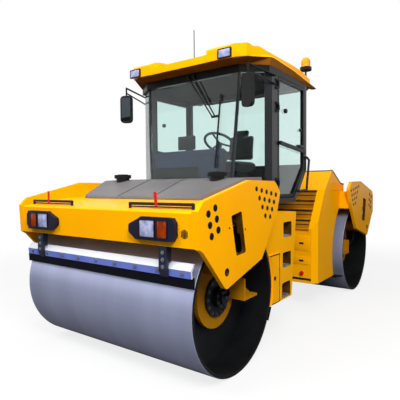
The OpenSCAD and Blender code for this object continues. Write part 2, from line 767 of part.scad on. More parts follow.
// rear body: front wall sloping back above the steering joint, sides cut round the drum
wall_x = -280;
chamfer = 60;
wall_half = body_half - 70;
body_z0 = az - 290;
arch_r = dr + 230;
slope_z = az + 417;
slope_x = -590;
slope_z2 = az + 917;
ridge_x = -860;
rim_z = az + 900;
mount_x = -ax + 560;
module body_profile() {
  polygon([[wall_x, body_z0], [wall_x, slope_z], [slope_x, slope_z2], [ridge_x, ridge_z], [ridge_x - 40, ridge_z],
    [ridge_x - 40, rim_z], [mount_x, rim_z], [mount_x, az + 500], [-ax + 700, body_z0]]);
}
module body_solid() {
  difference() {
    intersection() {
      side(-body_half, body_half)
        body_profile();
      plan(0, 2500)
        polygon([[wall_x + 1, -wall_half], [wall_x + 1, wall_half], [wall_x - chamfer, body_half], [-1600, body_half],
          [-1600, -body_half], [wall_x - chamfer, -body_half]]);
    }
    across(-ax, az, -body_half - 50, body_half + 50, 2 * arch_r);
    side(-body_half + body_wall, body_half - body_wall)
      polygon([[wall_x - 160, body_z0 + 40], [wall_x - 160, slope_z], [slope_x - 60, slope_z2 - 20], [ridge_x - 20, ridge_z - 60],
        [ridge_x - 20, ridge_z + 100], [mount_x - 1, ridge_z + 100], [mount_x - 1, az + 640], [-ax + arch_r - 300, az + 640],
        [-ax + arch_r + 40, az + 150], [-ax + arch_r + 40, body_z0 + 40]]);
    rod([10, 0, knuckle_z], [wall_x - 300, 0, knuckle_z], trunnion_d + 2 * pin_clear);
  }
}
module louvre_solid() {
  for (i = [0 : 4]) {
    x = wall_x + (slope_x - wall_x) * i / 4;
    z = slope_z + (slope_z2 - slope_z) * i / 4;
    side(-wall_half + 30, wall_half - 30)
      polygon([[x, z], [x + 14, z - 6], [x + 14, z - 20], [x, z - (i == 0 ? 24 : 0)]]);
  }
}
module engine_solid() {
  translate([-ax + arch_r + 60, -380, body_z0 + 40])
    cube([wall_x - 200 + ax - arch_r - 60, 760, 700]);
}
// engine hood: shell hinged at its rear edge
lid_x0 = ridge_x - 46;
lid_x1 = -hood_x0;
lid_gap = 5;
lid_hx = lid_x1 - 22;
lid_hz = deck_z + 26;
lid_ys = [300, 600];
module lid_profile(i) {
  polygon([[lid_x0 - i, rim_z + lid_gap - i * 2], [lid_x0 - i, ridge_z + 8 - i], [lid_x0 - 60, ridge_z + 8 - i],
    [lid_x0 - 430, az + 1000 - i], [lid_x0 - 620, az + 985 - i], [lid_x1 + i, deck_z + 70 - i],
    [lid_x1 + i, deck_z + lid_gap - i * 2], [mount_x - 40, deck_z + 30 + lid_gap - i * 2],
    [mount_x - 40, rim_z + lid_gap - i * 2]]);
}
module lid_plan(i) {
  polygon([[lid_x1 + i, -782 + i], [lid_x1 + i, 782 - i], [-ax + 300, 975 - i], [lid_x0 - i, 975 - i], [lid_x0 - i, -975 + i],
    [-ax + 300, -975 + i]]);
}
module lid_solid() {
  difference() {
    union() {
      intersection() {
        side(-1000, 1000)
          lid_profile(0);
        plan(deck_z - 100, ridge_z + 100)
          lid_plan(0);
      }
      both()
        for (y = lid_ys) {
          across(lid_hx, lid_hz, y - 30, y + 30, 26);
          translate([lid_hx, y - 30, lid_hz - 6])
            cube([23, 60, 12]);
        }
    }
    intersection() {
      side(-1000, 1000)
        lid_profile(hood_t);
      plan(deck_z - 200, ridge_z + 100)
        lid_plan(hood_t);
    }
    both()
      for (y = lid_ys)
        across(lid_hx, lid_hz, y - 31, y + 31, 14 + 2 * pin_clear);
  }
}
module lid_lugs() {
  both()
    for (y = lid_ys) {
      across(lid_hx, lid_hz, y - 60, y + 60, 14);
      for (s = [-1, 1])
        side(y + s * 46 - 12, y + s * 46 + 12) {
          translate([lid_hx, lid_hz])
            circle(d = 26);
          polygon([[lid_hx - 13, lid_hz], [lid_hx + 13, lid_hz], [lid_hx + 13, deck_z - 2], [lid_hx - 13, deck_z - 4]]);
        }
    }
}
module rear_scraper_front() {
  side(-half_w + 5, half_w - 5)
    polygon([[ax - 662, az - 226], [ax - 634, az - 226], [ax - 585, az - 330], [ax - 597, az - 345]]);
  both()
    side(step_in - 300, step_in - 220)
      polygon([[ax - 720, az - 130], [ax - 672, az - 130], [ax - 633, az - 228], [ax - 661, az - 228]]);
}
module front_scraper_rear() {
  side(-half_w + 5, half_w - 5)
    polygon([[-ax + 905, body_z0], [-ax + 905, body_z0 - 16], [-ax + 600, az - 348], [-ax + 588, az - 332],
      [-ax + arch_r - 120, body_z0]]);
}

module front_beam() {
  color("#FFB000")
    yoke_beam();
}
module front_plate_left() {
  color("#FFB000")
    yoke_plate();
}
module front_plate_right() {
  color("#FFB000")
    mirror([0, 1, 0]) yoke_plate();
}
module front_carriers() {
  color("#C98A00")
    both() carrier();
}
module front_motors() {
  color("#25282C")
    both() motor();
}
module front_bridge() {
  color("#FFB000")
    bridge();
}
module step_left() {
  color("#FFB000")
    step_column();
}
module step_right() {
  color("#FFB000")
    mirror([0, 1, 0]) step_column();
}
module step_treads() {
  color("#8E9096")
    both() treads();
}
module service_door_left() {
  color("#FFB000")
    service_door();
}
module service_door_right() {
  color("#FFB000")
    mirror([0, 1, 0]) service_door();
}
module tank_hood() {
  color("#77777C")
    tank_solid();
}
module filler_caps() {
  color("#1A1A1C")
    caps();
}
module front_lamps() {
  color("#1C1E22")
    lamps();
}
module front_rails() {
  color("#17181A")
    rails();
}
module front_scrapers() {
  color("#A9B0C6")
    union() {
      scraper_set();
      rear_scraper_front();
    }
}
module cab_floor() {
  color("#2A2C30")
    cab_floor_solid();
}
module cab_frame() {
  color("#303236")
    union() {
      frame_solid();
      both() door_pins();
    }
}
module cab_roof() {
  color("#FFB000")
    roof_solid();
}
module cab_glass() {
  color("#9DB0AE")
    glass_solid();
}
module door_left() {
  color("#303236")
    door_frame();
}
module door_left_glass() {
  color("#9DB0AE")
    door_pane();
}
module door_right() {
  color("#303236")
    mirror([0, 1, 0]) door_frame();
}
module door_right_glass() {
  color("#9DB0AE")
    mirror([0, 1, 0]) door_pane();
}
module seat_base() {
  color("#202124")
    seat_lower();
}
module seat_pads() {
  color("#26282B")
    seat_soft();
}
module console() {
  color("#232A38")
    console_solid();
}
module mirrors() {
  color("#1A1A1C")
    mirror_set();
}
module wiper() {
  color("#141414")
    wiper_solid();
}
module roof_fittings() {
  color("#1C1E22")
    fittings();
}
module beacon() {
  color("#F59A10")
    beacon_solid();
}
module grab_rails() {
  color("#17181A")
    rail_solid();
}
module knuckle() {
  color("#5A5C60")
    knuckle_solid();
}
module steer_rod_left() {
  color("#C8CACE")
    steer_rod();
}
module steer_rod_right() {
  color("#C8CACE")
    mirror([0, 1, 0]) steer_rod();
}
module rear_body() {
  color("#FFB000")
    body_solid();
}
module louvres() {
  color("#C77800")
    louvre_solid();
}
module engine() {
  color("#3A3C40")
    engine_solid();
}
module engine_hood() {
  color("#6A6A70")
    lid_solid();
}
module rear_plate_left() {
  color("#FFB000")
    mirror([1, 0, 0]) yoke_plate();
}
module rear_plate_right() {
  color("#FFB000")
    mirror([1, 0, 0]) mirror([0, 1, 0]) yoke_plate();
}
module rear_beam() {
  color("#FFB000")
    union() {
      mirror([1, 0, 0]) yoke_beam();
      lid_lugs();
    }
}
module rear_carriers() {
  color("#C98A00")
    mirror([1, 0, 0]) both() carrier();
}
module rear_motors() {
  color("#25282C")
    mirror([1, 0, 0]) both() motor();
}
module rear_scrapers() {
  color("#A9B0C6")
    union() {
      mirror([1, 0, 0]) scraper_set();
      front_scraper_rear();
    }
}
module rear_lamps() {
  color("#1C1E22")
    mirror([1, 0, 0]) lamps();
}
module front_drum() {
  color("#B9B8C4")
    translate([ax, 0, az]) drum_solid();
}
module rear_drum() {
  color("#B9B8C4")
    translate([-ax, 0, az]) drum_solid();
}

front_beam();
front_plate_left();
front_plate_right();
front_carriers();
front_motors();
front_bridge();
step_left();
step_right();
step_treads();
service_door_left();
service_door_right();
tank_hood();
filler_caps();
front_lamps();
front_rails();
front_scrapers();
cab_floor();
cab_frame();
cab_roof();
cab_glass();
door_left();
door_left_glass();
door_right();
door_right_glass();
seat_base();
seat_pads();
console();
mirrors();
wiper();
roof_fittings();
beacon();
grab_rails();
knuckle();
steer_rod_left();
steer_rod_right();
rear_body();
louvres();
engine();
engine_hood();
rear_plate_left();
rear_plate_right();
rear_beam();
rear_carriers();
rear_motors();
rear_scrapers();
rear_lamps();
front_drum();
rear_drum();
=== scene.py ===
"""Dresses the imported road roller: finishes, lamps, plain decals, small hardware, seat and studio.

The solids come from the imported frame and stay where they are. Lengths are in metres,
+X forward, +Y to the left of the machine, +Z up, origin on the ground midway between the drums.
"""
from __future__ import annotations

import json
import logging
import math
from dataclasses import dataclass
from enum import Enum, IntEnum
from typing import Any, Callable, Mapping, Sequence

import bmesh
import bpy
from mathutils import Matrix, Vector

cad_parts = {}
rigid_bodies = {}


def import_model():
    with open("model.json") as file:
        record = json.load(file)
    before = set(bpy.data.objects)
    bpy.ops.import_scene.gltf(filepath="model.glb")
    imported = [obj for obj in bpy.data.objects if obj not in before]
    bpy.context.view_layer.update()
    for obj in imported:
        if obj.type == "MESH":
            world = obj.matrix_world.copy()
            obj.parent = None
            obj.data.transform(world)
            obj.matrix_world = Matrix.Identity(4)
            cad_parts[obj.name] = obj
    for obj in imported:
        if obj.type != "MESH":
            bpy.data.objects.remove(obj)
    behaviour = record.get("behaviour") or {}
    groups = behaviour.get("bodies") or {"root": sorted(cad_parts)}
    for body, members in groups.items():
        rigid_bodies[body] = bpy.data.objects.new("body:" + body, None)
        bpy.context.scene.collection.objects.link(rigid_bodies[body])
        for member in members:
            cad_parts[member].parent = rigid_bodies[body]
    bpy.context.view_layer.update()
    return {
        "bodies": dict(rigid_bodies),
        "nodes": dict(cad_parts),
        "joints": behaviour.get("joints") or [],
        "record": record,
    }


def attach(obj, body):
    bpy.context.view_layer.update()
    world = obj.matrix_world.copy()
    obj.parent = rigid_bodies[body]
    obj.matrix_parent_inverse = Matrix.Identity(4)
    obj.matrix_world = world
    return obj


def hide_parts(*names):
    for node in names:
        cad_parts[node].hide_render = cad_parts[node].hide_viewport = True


LOG = logging.getLogger("road_roller")
SHARP_DEGREES = 35

Flat = tuple[float, float]
Point = tuple[float, float, float]
Box = tuple[Point, Point]
Outline = tuple[Flat, ...]
Points = tuple[Point, ...]
FaceTest = Callable[[Vector, Vector], bool]
Rule = tuple[str, FaceTest]


class Body(str, Enum):
    """Moving bodies that carry added pieces."""

    FRONT = "front_frame"
    REAR = "rear_frame"
    HOOD = "engine_hood"
    DOOR_L = "door_left"
    DOOR_R = "door_right"
    SERVICE_L = "service_door_left"
    SERVICE_R = "service_door_right"


class Slot(str, Enum):
    """Material slots of the record, listed beside the lamp pieces but not given to any piece."""

    YELLOW = "yellow"
    DARK = "dark_metal"
    GREY = "grey_plastic"
    BLACK = "black_plastic"
    STEEL = "steel"
    GLASS = "glass"
    SEAT = "seat_cover"
    AMBER = "amber"


class End(IntEnum):
    """Ends of the machine, as the sign of X."""

    FRONT = 1
    REAR = -1


class Side(IntEnum):
    """Sides of the machine, as the sign of Y."""

    LEFT = 1
    RIGHT = -1


class Plane(Enum):
    """Planes that an outline is drawn in."""

    SIDE = "xz"
    CROSS = "yz"
    PLAN = "xy"


@dataclass(frozen=True)
class MachineSizes:
    """Main sizes that the added pieces line up with, as in the solids."""

    axle_x: float = 1.775
    axle_z: float = 0.65
    drum_r: float = 0.65
    plate_out: float = 1.160
    beam_x: float = 2.455
    step_out: float = 1.055
    foot_zs: Point = (0.447, 0.767, 1.085)
    eye: Flat = (2.087, 0.955)


@dataclass(frozen=True)
class ViewPoint:
    """Camera that matches the photograph."""

    place: Point = (4.7845, 2.8816, 1.6421)
    yaw: float = 216.269
    pitch: float = -2.085
    roll: float = -0.445
    lens: float = 36.875
    sensor: float = 36.0
    reach: float = 200.0


SIZES = MachineSizes()


def linear(hex_colour: str) -> tuple[float, float, float, float]:
    """Turns a hex sRGB colour into linear values.

    Args:
        hex_colour: colour such as "#FFB000".
    Returns:
        Linear red, green, blue and alpha 1.
    """
    raw = [int(hex_colour[i : i + 2], 16) / 255 for i in (1, 3, 5)]
    lin = [c / 12.92 if c <= 0.04045 else ((c + 0.055) / 1.055) ** 2.4 for c in raw]
    return (lin[0], lin[1], lin[2], 1.0)


def add_node(
    tree: bpy.types.NodeTree,
    kind: str,
    values: Mapping[Any, Any] | None = None,
    links: Mapping[Any, bpy.types.NodeSocket] | None = None,
    **settings: Any,
) -> bpy.types.Node:
    """Adds a shader node with its settings, input values and links.

    Args:
        tree: node tree of the material.
        kind: type name of the node.
        values: input values by socket name or number.
        links: sockets that feed the inputs, by socket name or number.
        settings: attributes of the node itself.
    Returns:
        The new node.
    """
    node = tree.nodes.new(kind)
    for key, value in settings.items():
        setattr(node, key, value)
    for key, value in (values or {}).items():
        node.inputs[key].default_value = value
    for key, socket in (links or {}).items():
        tree.links.new(socket, node.inputs[key])
    return node


@dataclass(frozen=True)
class Finish:
    """One surface finish, made as a node material.

    The colour varies between dark and light over patches of patch_mm, and a fine
    grain of grain_mm gives the bump and the spread of roughness.
    """

    name: str
    light: str
    dark: str
    rough: Flat = (0.35, 0.5)
    patch_mm: float = 400.0
    grain_mm: float = 3.0
    bump_mm: float = 0.05
    metallic: float = 0.0
    coat: float = 0.0
    specular: float = 0.5
    sheen: float = 0.0
    ior: float = 1.5
    stretch: Point = (1.0, 1.0, 1.0)
    clear: float = 0.0
    stops: Flat = (0.32, 0.68)

    def build(self) -> bpy.types.Material:
        """Makes the material.

        Returns:
            The node material.
        """
        mat = bpy.data.materials.new(self.name)
        mat.use_nodes = True
        mat.diffuse_color = linear(self.light)
        tree = mat.node_tree
        shader = tree.nodes["Principled BSDF"]
        coords = add_node(tree, "ShaderNodeTexCoord")
        place = add_node(
            tree, "ShaderNodeMapping", {"Scale": self.stretch}, {"Vector": coords.outputs["Object"]}
        )
        where = {"Vector": place.outputs["Vector"]}
        broad = {"Scale": 1000 / self.patch_mm, "Detail": 4.0, "Roughness": 0.55}
        patch = add_node(tree, "ShaderNodeTexNoise", broad, where)
        fine = {"Scale": 1000 / self.grain_mm, "Detail": 3.0, "Roughness": 0.6}
        grain = add_node(tree, "ShaderNodeTexNoise", fine, where)
        tint = add_node(tree, "ShaderNodeValToRGB", links={"Fac": patch.outputs["Fac"]})
        for stop, at, colour in zip(tint.color_ramp.elements, self.stops, (self.dark, self.light)):
            stop.position = at
            stop.color = linear(colour)
        tree.links.new(tint.outputs["Color"], shader.inputs["Base Color"])
        smoothest, roughest = self.rough
        constants = {
            "Roughness": smoothest,
            "Metallic": self.metallic,
            "IOR": self.ior,
            "Coat Weight": self.coat,
            "Coat Roughness": 0.08,
            "Specular IOR Level": self.specular,
            "Sheen Weight": self.sheen,
            "Transmission Weight": self.clear,
        }
        for socket, value in constants.items():
            shader.inputs[socket].default_value = value
        if roughest > smoothest:
            limits = {"To Min": smoothest, "To Max": roughest}
            spread = add_node(tree, "ShaderNodeMapRange", limits, {"Value": grain.outputs["Fac"]})
            tree.links.new(spread.outputs["Result"], shader.inputs["Roughness"])
        if self.bump_mm > 0:
            depth = {"Strength": 0.6, "Distance": self.bump_mm / 1000}
            bump = add_node(tree, "ShaderNodeBump", depth, {"Height": grain.outputs["Fac"]})
            tree.links.new(bump.outputs["Normal"], shader.inputs["Normal"])
        return mat


FINISHES: tuple[Finish, ...] = (
    # Two-pack enamel sprayed on steel plate: even, saturated, faint orange peel.
    Finish(
        "yellow_enamel", light="#FDB003", dark="#F6A600", rough=(0.26, 0.38),
        patch_mm=900, grain_mm=2.2, bump_mm=0.012, specular=0.05,
    ),
    # The same enamel with painted shade: duller and browner, for the louvres and the slope between them.
    Finish(
        "shaded_enamel", light="#B4720A", dark="#8E5606", rough=(0.5, 0.65),
        patch_mm=300, grain_mm=2.2, bump_mm=0.02, specular=0.12,
    ),
    # Enamel under the roof's edge, with painted shade: brown.
    Finish(
        "eave_enamel", light="#84500A", dark="#6C4008", rough=(0.5, 0.65),
        patch_mm=300, grain_mm=2.2, bump_mm=0.02, specular=0.1,
    ),
    # Enamel of the carriers inside a drum end, with painted shade: dull and brownish.
    Finish(
        "dusty_enamel", light="#B87C06", dark="#9C6604", rough=(0.5, 0.65),
        patch_mm=500, grain_mm=2.2, bump_mm=0.02, specular=0.15,
    ),
    # Enamel with painted shade, for the insides of step openings, slots and lashing eyes: dark brown.
    Finish(
        "step_pocket", light="#5E3E0C", dark="#3A2608", rough=(0.6, 0.75),
        patch_mm=90, grain_mm=3.0, bump_mm=0.05, specular=0.15,
    ),
    # Rolled and machined drum shell: cool grey, half bright, fine marks round the drum.
    Finish(
        "machined_shell", light="#B2B8D8", dark="#A4AACA", rough=(0.32, 0.42),
        patch_mm=260, grain_mm=1.6, bump_mm=0.02, metallic=0.6, specular=0.3, stretch=(0.12, 1.0, 0.12),
    ),
    # Near black, matt: painted shade inside the drums, in the horn's slots, behind the plates' slots and on
    # the louvres.
    Finish(
        "primed_inside", light="#141517", dark="#0B0C0D", rough=(0.55, 0.75),
        patch_mm=200, grain_mm=4.0, bump_mm=0.05, specular=0.3,
    ),
    # Powder coat on cab and rails: dark grey with a soft gloss.
    Finish(
        "powder_grey", light="#202226", dark="#17191C", rough=(0.35, 0.5),
        patch_mm=300, grain_mm=2.5, bump_mm=0.02, specular=0.25,
    ),
    # Glossier powder coat of the cab posts.
    Finish(
        "post_coat", light="#181A1E", dark="#101215", rough=(0.28, 0.4),
        patch_mm=300, grain_mm=2.5, bump_mm=0.02, specular=0.35,
    ),
    # Black powder coat of header and door frames; on the roof's underside it is painted shade.
    Finish(
        "header_coat", light="#0C0D0F", dark="#070809", rough=(0.35, 0.5),
        patch_mm=300, grain_mm=2.5, bump_mm=0.02, specular=0.2,
    ),
    # Rotary moulded polyethylene of the tank hood: mid grey, fine leather grain.
    Finish(
        "moulded_hood", light="#6E6C6D", dark="#5E5C5E", rough=(0.42, 0.55),
        patch_mm=500, grain_mm=1.5, bump_mm=0.05, ior=1.51,
    ),
    # Injection moulded ABS: black, satin.
    Finish(
        "black_abs", light="#17181A", dark="#0E0F11", rough=(0.4, 0.55),
        patch_mm=200, grain_mm=1.2, bump_mm=0.05, specular=0.25, ior=1.54,
    ),
    # Moulded rubber: black, dry.
    Finish(
        "black_rubber", light="#0B0C16", dark="#06070E", rough=(0.55, 0.75),
        patch_mm=120, grain_mm=1.5, bump_mm=0.08, specular=0.12, ior=1.52,
    ),
    # Galvanised strip of the scraper bar: bright, streaked along the bar; on the bar's upward faces its
    # brightness is a painted highlight.
    Finish(
        "zinc_strip", light="#E6E9F0", dark="#CFD3DE", rough=(0.3, 0.45),
        patch_mm=160, grain_mm=1.5, bump_mm=0.02, metallic=0.3, stretch=(1.0, 0.2, 1.0),
    ),
    # Pressed tread plate: worn bright on the ridges.
    Finish(
        "tread_plate", light="#B8B7BE", dark="#8D8C94", rough=(0.35, 0.55),
        patch_mm=60, grain_mm=3.0, bump_mm=0.3, metallic=0.7,
    ),
    # Zinc plated bolts: light grey, bright.
    Finish(
        "zinc_bolt", light="#B9BCC6", dark="#8F939F", rough=(0.25, 0.4),
        patch_mm=30, grain_mm=1.0, bump_mm=0.02, metallic=0.9,
    ),
    # Black oxide bolts of the drive: dark, with small lights on the edges.
    Finish(
        "oiled_bolt", light="#6C7284", dark="#3C404C", rough=(0.3, 0.45),
        patch_mm=30, grain_mm=1.0, bump_mm=0.02, metallic=0.8,
    ),
    # Coated glass of the cab's corners: clear, with little reflection.
    Finish(
        "corner_glass", light="#E6F5F2", dark="#E2F2EF", rough=(0.0, 0.0),
        patch_mm=900, grain_mm=400.0, bump_mm=0.0, ior=1.16, clear=1.0,
    ),
    # Toughened float glass: clear with a faint green cast.
    Finish(
        "window_glass", light="#E6F5F2", dark="#E2F2EF", rough=(0.0, 0.0),
        patch_mm=900, grain_mm=400.0, bump_mm=0.0, ior=1.42, clear=1.0,
    ),
    # Woven seat cloth over foam: near black and dull, its threads drawn coarse at 1.4 mm to show.
    Finish(
        "woven_cloth", light="#1A1C1F", dark="#0F1113", rough=(0.8, 0.95),
        patch_mm=60, grain_mm=1.4, bump_mm=0.35, sheen=0.2,
    ),
    # Moulded ABS of the lamp clusters: blue black, satin.
    Finish(
        "lamp_abs", light="#11152A", dark="#0B0E1C", rough=(0.35, 0.5),
        patch_mm=120, grain_mm=1.2, bump_mm=0.05, specular=0.25, ior=1.54,
    ),
    # Moulded ABS of the console: navy, satin.
    Finish(
        "navy_abs", light="#1B264E", dark="#131B3A", rough=(0.4, 0.55),
        patch_mm=200, grain_mm=1.2, bump_mm=0.05, ior=1.54,
    ),
    # Dyed polycarbonate of the beacon: warm amber.
    Finish(
        "amber_lens", light="#F2A20C", dark="#E08A04", rough=(0.14, 0.24),
        patch_mm=30, grain_mm=5.0, bump_mm=0.2, specular=0.25, ior=1.58,
    ),
    # Dyed polycarbonate of the indicators: orange red, ribbed.
    Finish(
        "indicator_lens", light="#A63A05", dark="#6A1E03", rough=(0.14, 0.24),
        patch_mm=70, grain_mm=8.0, bump_mm=0.12, specular=0.1, ior=1.58,
    ),
    # Dyed polycarbonate of the tail lamps: red, ribbed.
    Finish(
        "red_lens", light="#C41414", dark="#900A0A", rough=(0.14, 0.24),
        patch_mm=70, grain_mm=8.0, bump_mm=0.12, specular=0.2, ior=1.58,
    ),
    # Clear polycarbonate over a reflector: bluish white with a broken pattern.
    Finish(
        "white_lens", light="#B2B5D4", dark="#5F669A", rough=(0.1, 0.2),
        patch_mm=60, grain_mm=8.0, bump_mm=0.15, specular=0.25, ior=1.58,
    ),
    # Needle felt of the headliner: black, matt.
    Finish(
        "felt_liner", light="#141517", dark="#0C0D0E", rough=(0.8, 0.95),
        patch_mm=120, grain_mm=1.4, bump_mm=0.1, specular=0.1,
    ),
    # Navy primer on the scraper brackets: dark blue, semi-gloss.
    Finish(
        "bracket_navy", light="#1A2038", dark="#12172A", rough=(0.35, 0.5),
        patch_mm=120, grain_mm=2.5, bump_mm=0.03, metallic=0.1, coat=0.1,
    ),
    # Blued spring steel of the scraper blade: clear blue.
    Finish(
        "blued_steel", light="#7486DC", dark="#6476CC", rough=(0.3, 0.42),
        patch_mm=160, grain_mm=1.5, bump_mm=0.02, metallic=0.2, coat=0.1,
    ),
    # Cut vinyl of the plain round decals: black, flat.
    Finish(
        "cut_vinyl", light="#0F1012", dark="#090A0B", rough=(0.45, 0.55),
        patch_mm=60, grain_mm=2.0, bump_mm=0.0, specular=0.08,
    ),
    # Red PVC of rail markers and knob: bright red, satin.
    Finish(
        "red_pvc", light="#D2141B", dark="#B50E15", rough=(0.35, 0.5),
        patch_mm=60, grain_mm=2.0, bump_mm=0.02, specular=0.3, ior=1.53,
    ),
    # Hard chrome of the steering rods: bright, sharp reflections.
    Finish(
        "hard_chrome", light="#E8EAEE", dark="#D4D7DD", rough=(0.06, 0.12),
        patch_mm=90, grain_mm=2.0, bump_mm=0.005, metallic=1.0,
    ),
    # Display behind dark glass: slate, glossy.
    Finish(
        "dark_display", light="#2A3238", dark="#20272C", rough=(0.08, 0.14),
        patch_mm=120, grain_mm=20.0, bump_mm=0.0, ior=1.52,
    ),
    # Silvered mirror glass: dark, with sharp reflections.
    Finish(
        "mirror_glass", light="#4C565A", dark="#3E474B", rough=(0.03, 0.06),
        patch_mm=200, grain_mm=50.0, bump_mm=0.0, metallic=0.9,
    ),
    # Cast iron engine block, painted grey: coarse and dull.
    Finish(
        "cast_block", light="#4A4D52", dark="#393B40", rough=(0.45, 0.6),
        patch_mm=120, grain_mm=4.0, bump_mm=0.2, metallic=0.2,
    ),
)


class Paintbox:
    """All finishes of the machine, made once and kept by name."""

    def __init__(self, finishes: Sequence[Finish] = FINISHES) -> None:
        """Makes the material of every finish."""
        self._made = {finish.name: finish.build() for finish in finishes}

    def __getitem__(self, name: str) -> bpy.types.Material:
        """Gives the material of a finish."""
        return self._made[name]


def new_object(
    name: str,
    bm: bmesh.types.BMesh,
    material: bpy.types.Material,
    body: Body,
    smooth: bool = True,
) -> bpy.types.Object:
    """Turns a bmesh into a piece that rides on a body.

    Args:
        name: name of the piece.
        bm: geometry in the machine's frame, freed here.
        material: finish of the piece.
        body: body that carries it.
        smooth: whether faces are shaded smooth by angle.
    Returns:
        The new object.
    """
    mesh = bpy.data.meshes.new(name)
    bmesh.ops.recalc_face_normals(bm, faces=bm.faces)
    bm.to_mesh(mesh)
    bm.free()
    mesh.materials.append(material)
    obj = bpy.data.objects.new(name, mesh)
    bpy.context.scene.collection.objects.link(obj)
    if smooth:
        mesh.shade_smooth()
        mesh.set_sharp_from_angle(angle=math.radians(SHARP_DEGREES))
    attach(obj, body.value)
    LOG.info("piece %s on %s", name, body.value)
    return obj


def span(sign: int, near: float, far: float) -> Flat:
    """Stretch on one side or end of the machine, lowest value first.

    Args:
        sign: side or end.
        near: distance of its inner end from the middle.
        far: distance of its outer end from the middle.
    Returns:
        Lowest and highest value.
    """
    low, high = sorted((sign * near, sign * far))
    return (low, high)


def place_z_along(direction: Sequence[float], at: Sequence[float]) -> Matrix:
    """Matrix that turns +Z to a direction and moves to a point.

    Args:
        direction: where +Z goes.
        at: where the origin goes.
    Returns:
        The 4 by 4 matrix.
    """
    turn = Vector(direction).to_track_quat("Z", "Y").to_matrix().to_4x4()
    return Matrix.Translation(Vector(at)) @ turn


def circle(radius: float, count: int, start: float = 0.0) -> list[Flat]:
    """Points on a circle about the origin.

    Args:
        radius: radius of the circle.
        count: number of points.
        start: angle of the first point in degrees.
    Returns:
        The points.
    """
    turns = [math.radians(start + 360 * i / count) for i in range(count)]
    return [(radius * math.cos(t), radius * math.sin(t)) for t in turns]


def join_rings(bm: bmesh.types.BMesh, rings: Sequence[Sequence[Sequence[float]]]) -> None:
    """Adds a closed skin over rings of points, with a cap at both ends.

    Args:
        bm: mesh that receives it.
        rings: rings with the same number of points.
    """
    loops = [[bm.verts.new(p) for p in ring] for ring in rings]
    count = len(loops[0])
    for low, high in zip(loops, loops[1:]):
        for i in range(count):
            j = (i + 1) % count
            bm.faces.new((low[i], low[j], high[j], high[i]))
    bm.faces.new(loops[-1])
    bm.faces.new(list(reversed(loops[0])))


def add_disc(
    bm: bmesh.types.BMesh,
    at: Point,
    axis: Point,
    radius: float,
    height: float,
    sides: int = 32,
    bevel: float = 0.0,
) -> None:
    """Adds a short cylinder that starts at a point and rises along an axis.

    Args:
        bm: mesh that receives it.
        at: centre of the foot.
        axis: direction of the axis.
        radius: radius of the cylinder.
        height: height of the cylinder.
        sides: number of sides.
        bevel: size of the bevel on the top edge.
    """
    frame = place_z_along(axis, at)
    steps = [(radius, 0.0), (radius, height - bevel)]
    if bevel > 0:
        steps.append((radius - bevel, height))
    join_rings(bm, [[frame @ Vector((*p, z)) for p in circle(r, sides)] for r, z in steps])


def add_box(
    bm: bmesh.types.BMesh, low: Point, high: Point, bevel: float = 0.0, segments: int = 2
) -> None:
    """Adds a box between two corners, with rounded edges.

    Args:
        bm: mesh that receives it.
        low: lowest corner.
        high: highest corner.
        bevel: radius of the edges.
        segments: steps in each rounded edge.
    """
    made = bmesh.ops.create_cube(bm, size=1.0)["verts"]
    centre = (Vector(low) + Vector(high)) / 2
    size = Vector(high) - Vector(low)
    for v in made:
        v.co = v.co * size + centre
    if bevel > 0:
        edges = list({e for v in made for e in v.link_edges})
        bmesh.ops.bevel(bm, geom=edges, offset=bevel, segments=segments, profile=0.5, affect="EDGES")


def add_tube(bm: bmesh.types.BMesh, points: Sequence[Point], radius: float, sides: int = 12) -> None:
    """Adds a round tube through points, mitred at the bends.

    Args:
        bm: mesh that receives it.
        points: path of the tube.
        radius: radius of the tube.
        sides: number of sides.
    """
    # A little off the vertical, so that an upright tube has a side too.
    up = Vector((0.013, 0.029, 1.0))
    path = [Vector(p) for p in points]
    rings = []
    for i, p in enumerate(path):
        ahead = (path[min(i + 1, len(path) - 1)] - path[max(i - 1, 0)]).normalized()
        side = ahead.cross(up).normalized()
        top = side.cross(ahead).normalized()
        rings.append([p + side * a + top * b for a, b in circle(radius, sides)])
    join_rings(bm, rings)


def add_prism(
    bm: bmesh.types.BMesh, outline: Sequence[Flat], plane: Plane, low: float, high: float
) -> None:
    """Adds a prism over an outline.

    Args:
        bm: mesh that receives it.
        outline: corner points in the plane.
        plane: plane of the outline.
        low: start of the extrusion.
        high: end of the extrusion.
    """
    rings: list[list[Point]] = []
    for depth in (low, high):
        if plane is Plane.SIDE:
            rings.append([(a, depth, b) for a, b in outline])
        elif plane is Plane.CROSS:
            rings.append([(depth, a, b) for a, b in outline])
        else:
            rings.append([(a, b, depth) for a, b in outline])
    join_rings(bm, rings)


@dataclass(frozen=True)
class BoltForm:
    """Shape of a bolt, as shares of its size across the corners."""

    washer_r: float = 0.75
    washer_t: float = 0.12
    washer_edge: float = 0.03
    head_r: float = 0.5
    head_h: float = 0.42
    head_edge: float = 0.05


BOLT = BoltForm()


def add_bolt(bm: bmesh.types.BMesh, at: Point, axis: Point, across: float) -> None:
    """Adds a hexagon bolt head on a washer.

    Args:
        bm: mesh that receives it.
        at: centre on the seat.
        axis: direction of the head.
        across: size across the corners.
    """
    washer, head = across * BOLT.washer_t, across * BOLT.head_h
    add_disc(bm, at, axis, across * BOLT.washer_r, washer, sides=20, bevel=across * BOLT.washer_edge)
    top = tuple(Vector(at) + Vector(axis).normalized() * washer)
    add_disc(bm, top, axis, across * BOLT.head_r, head, sides=6, bevel=across * BOLT.head_edge)


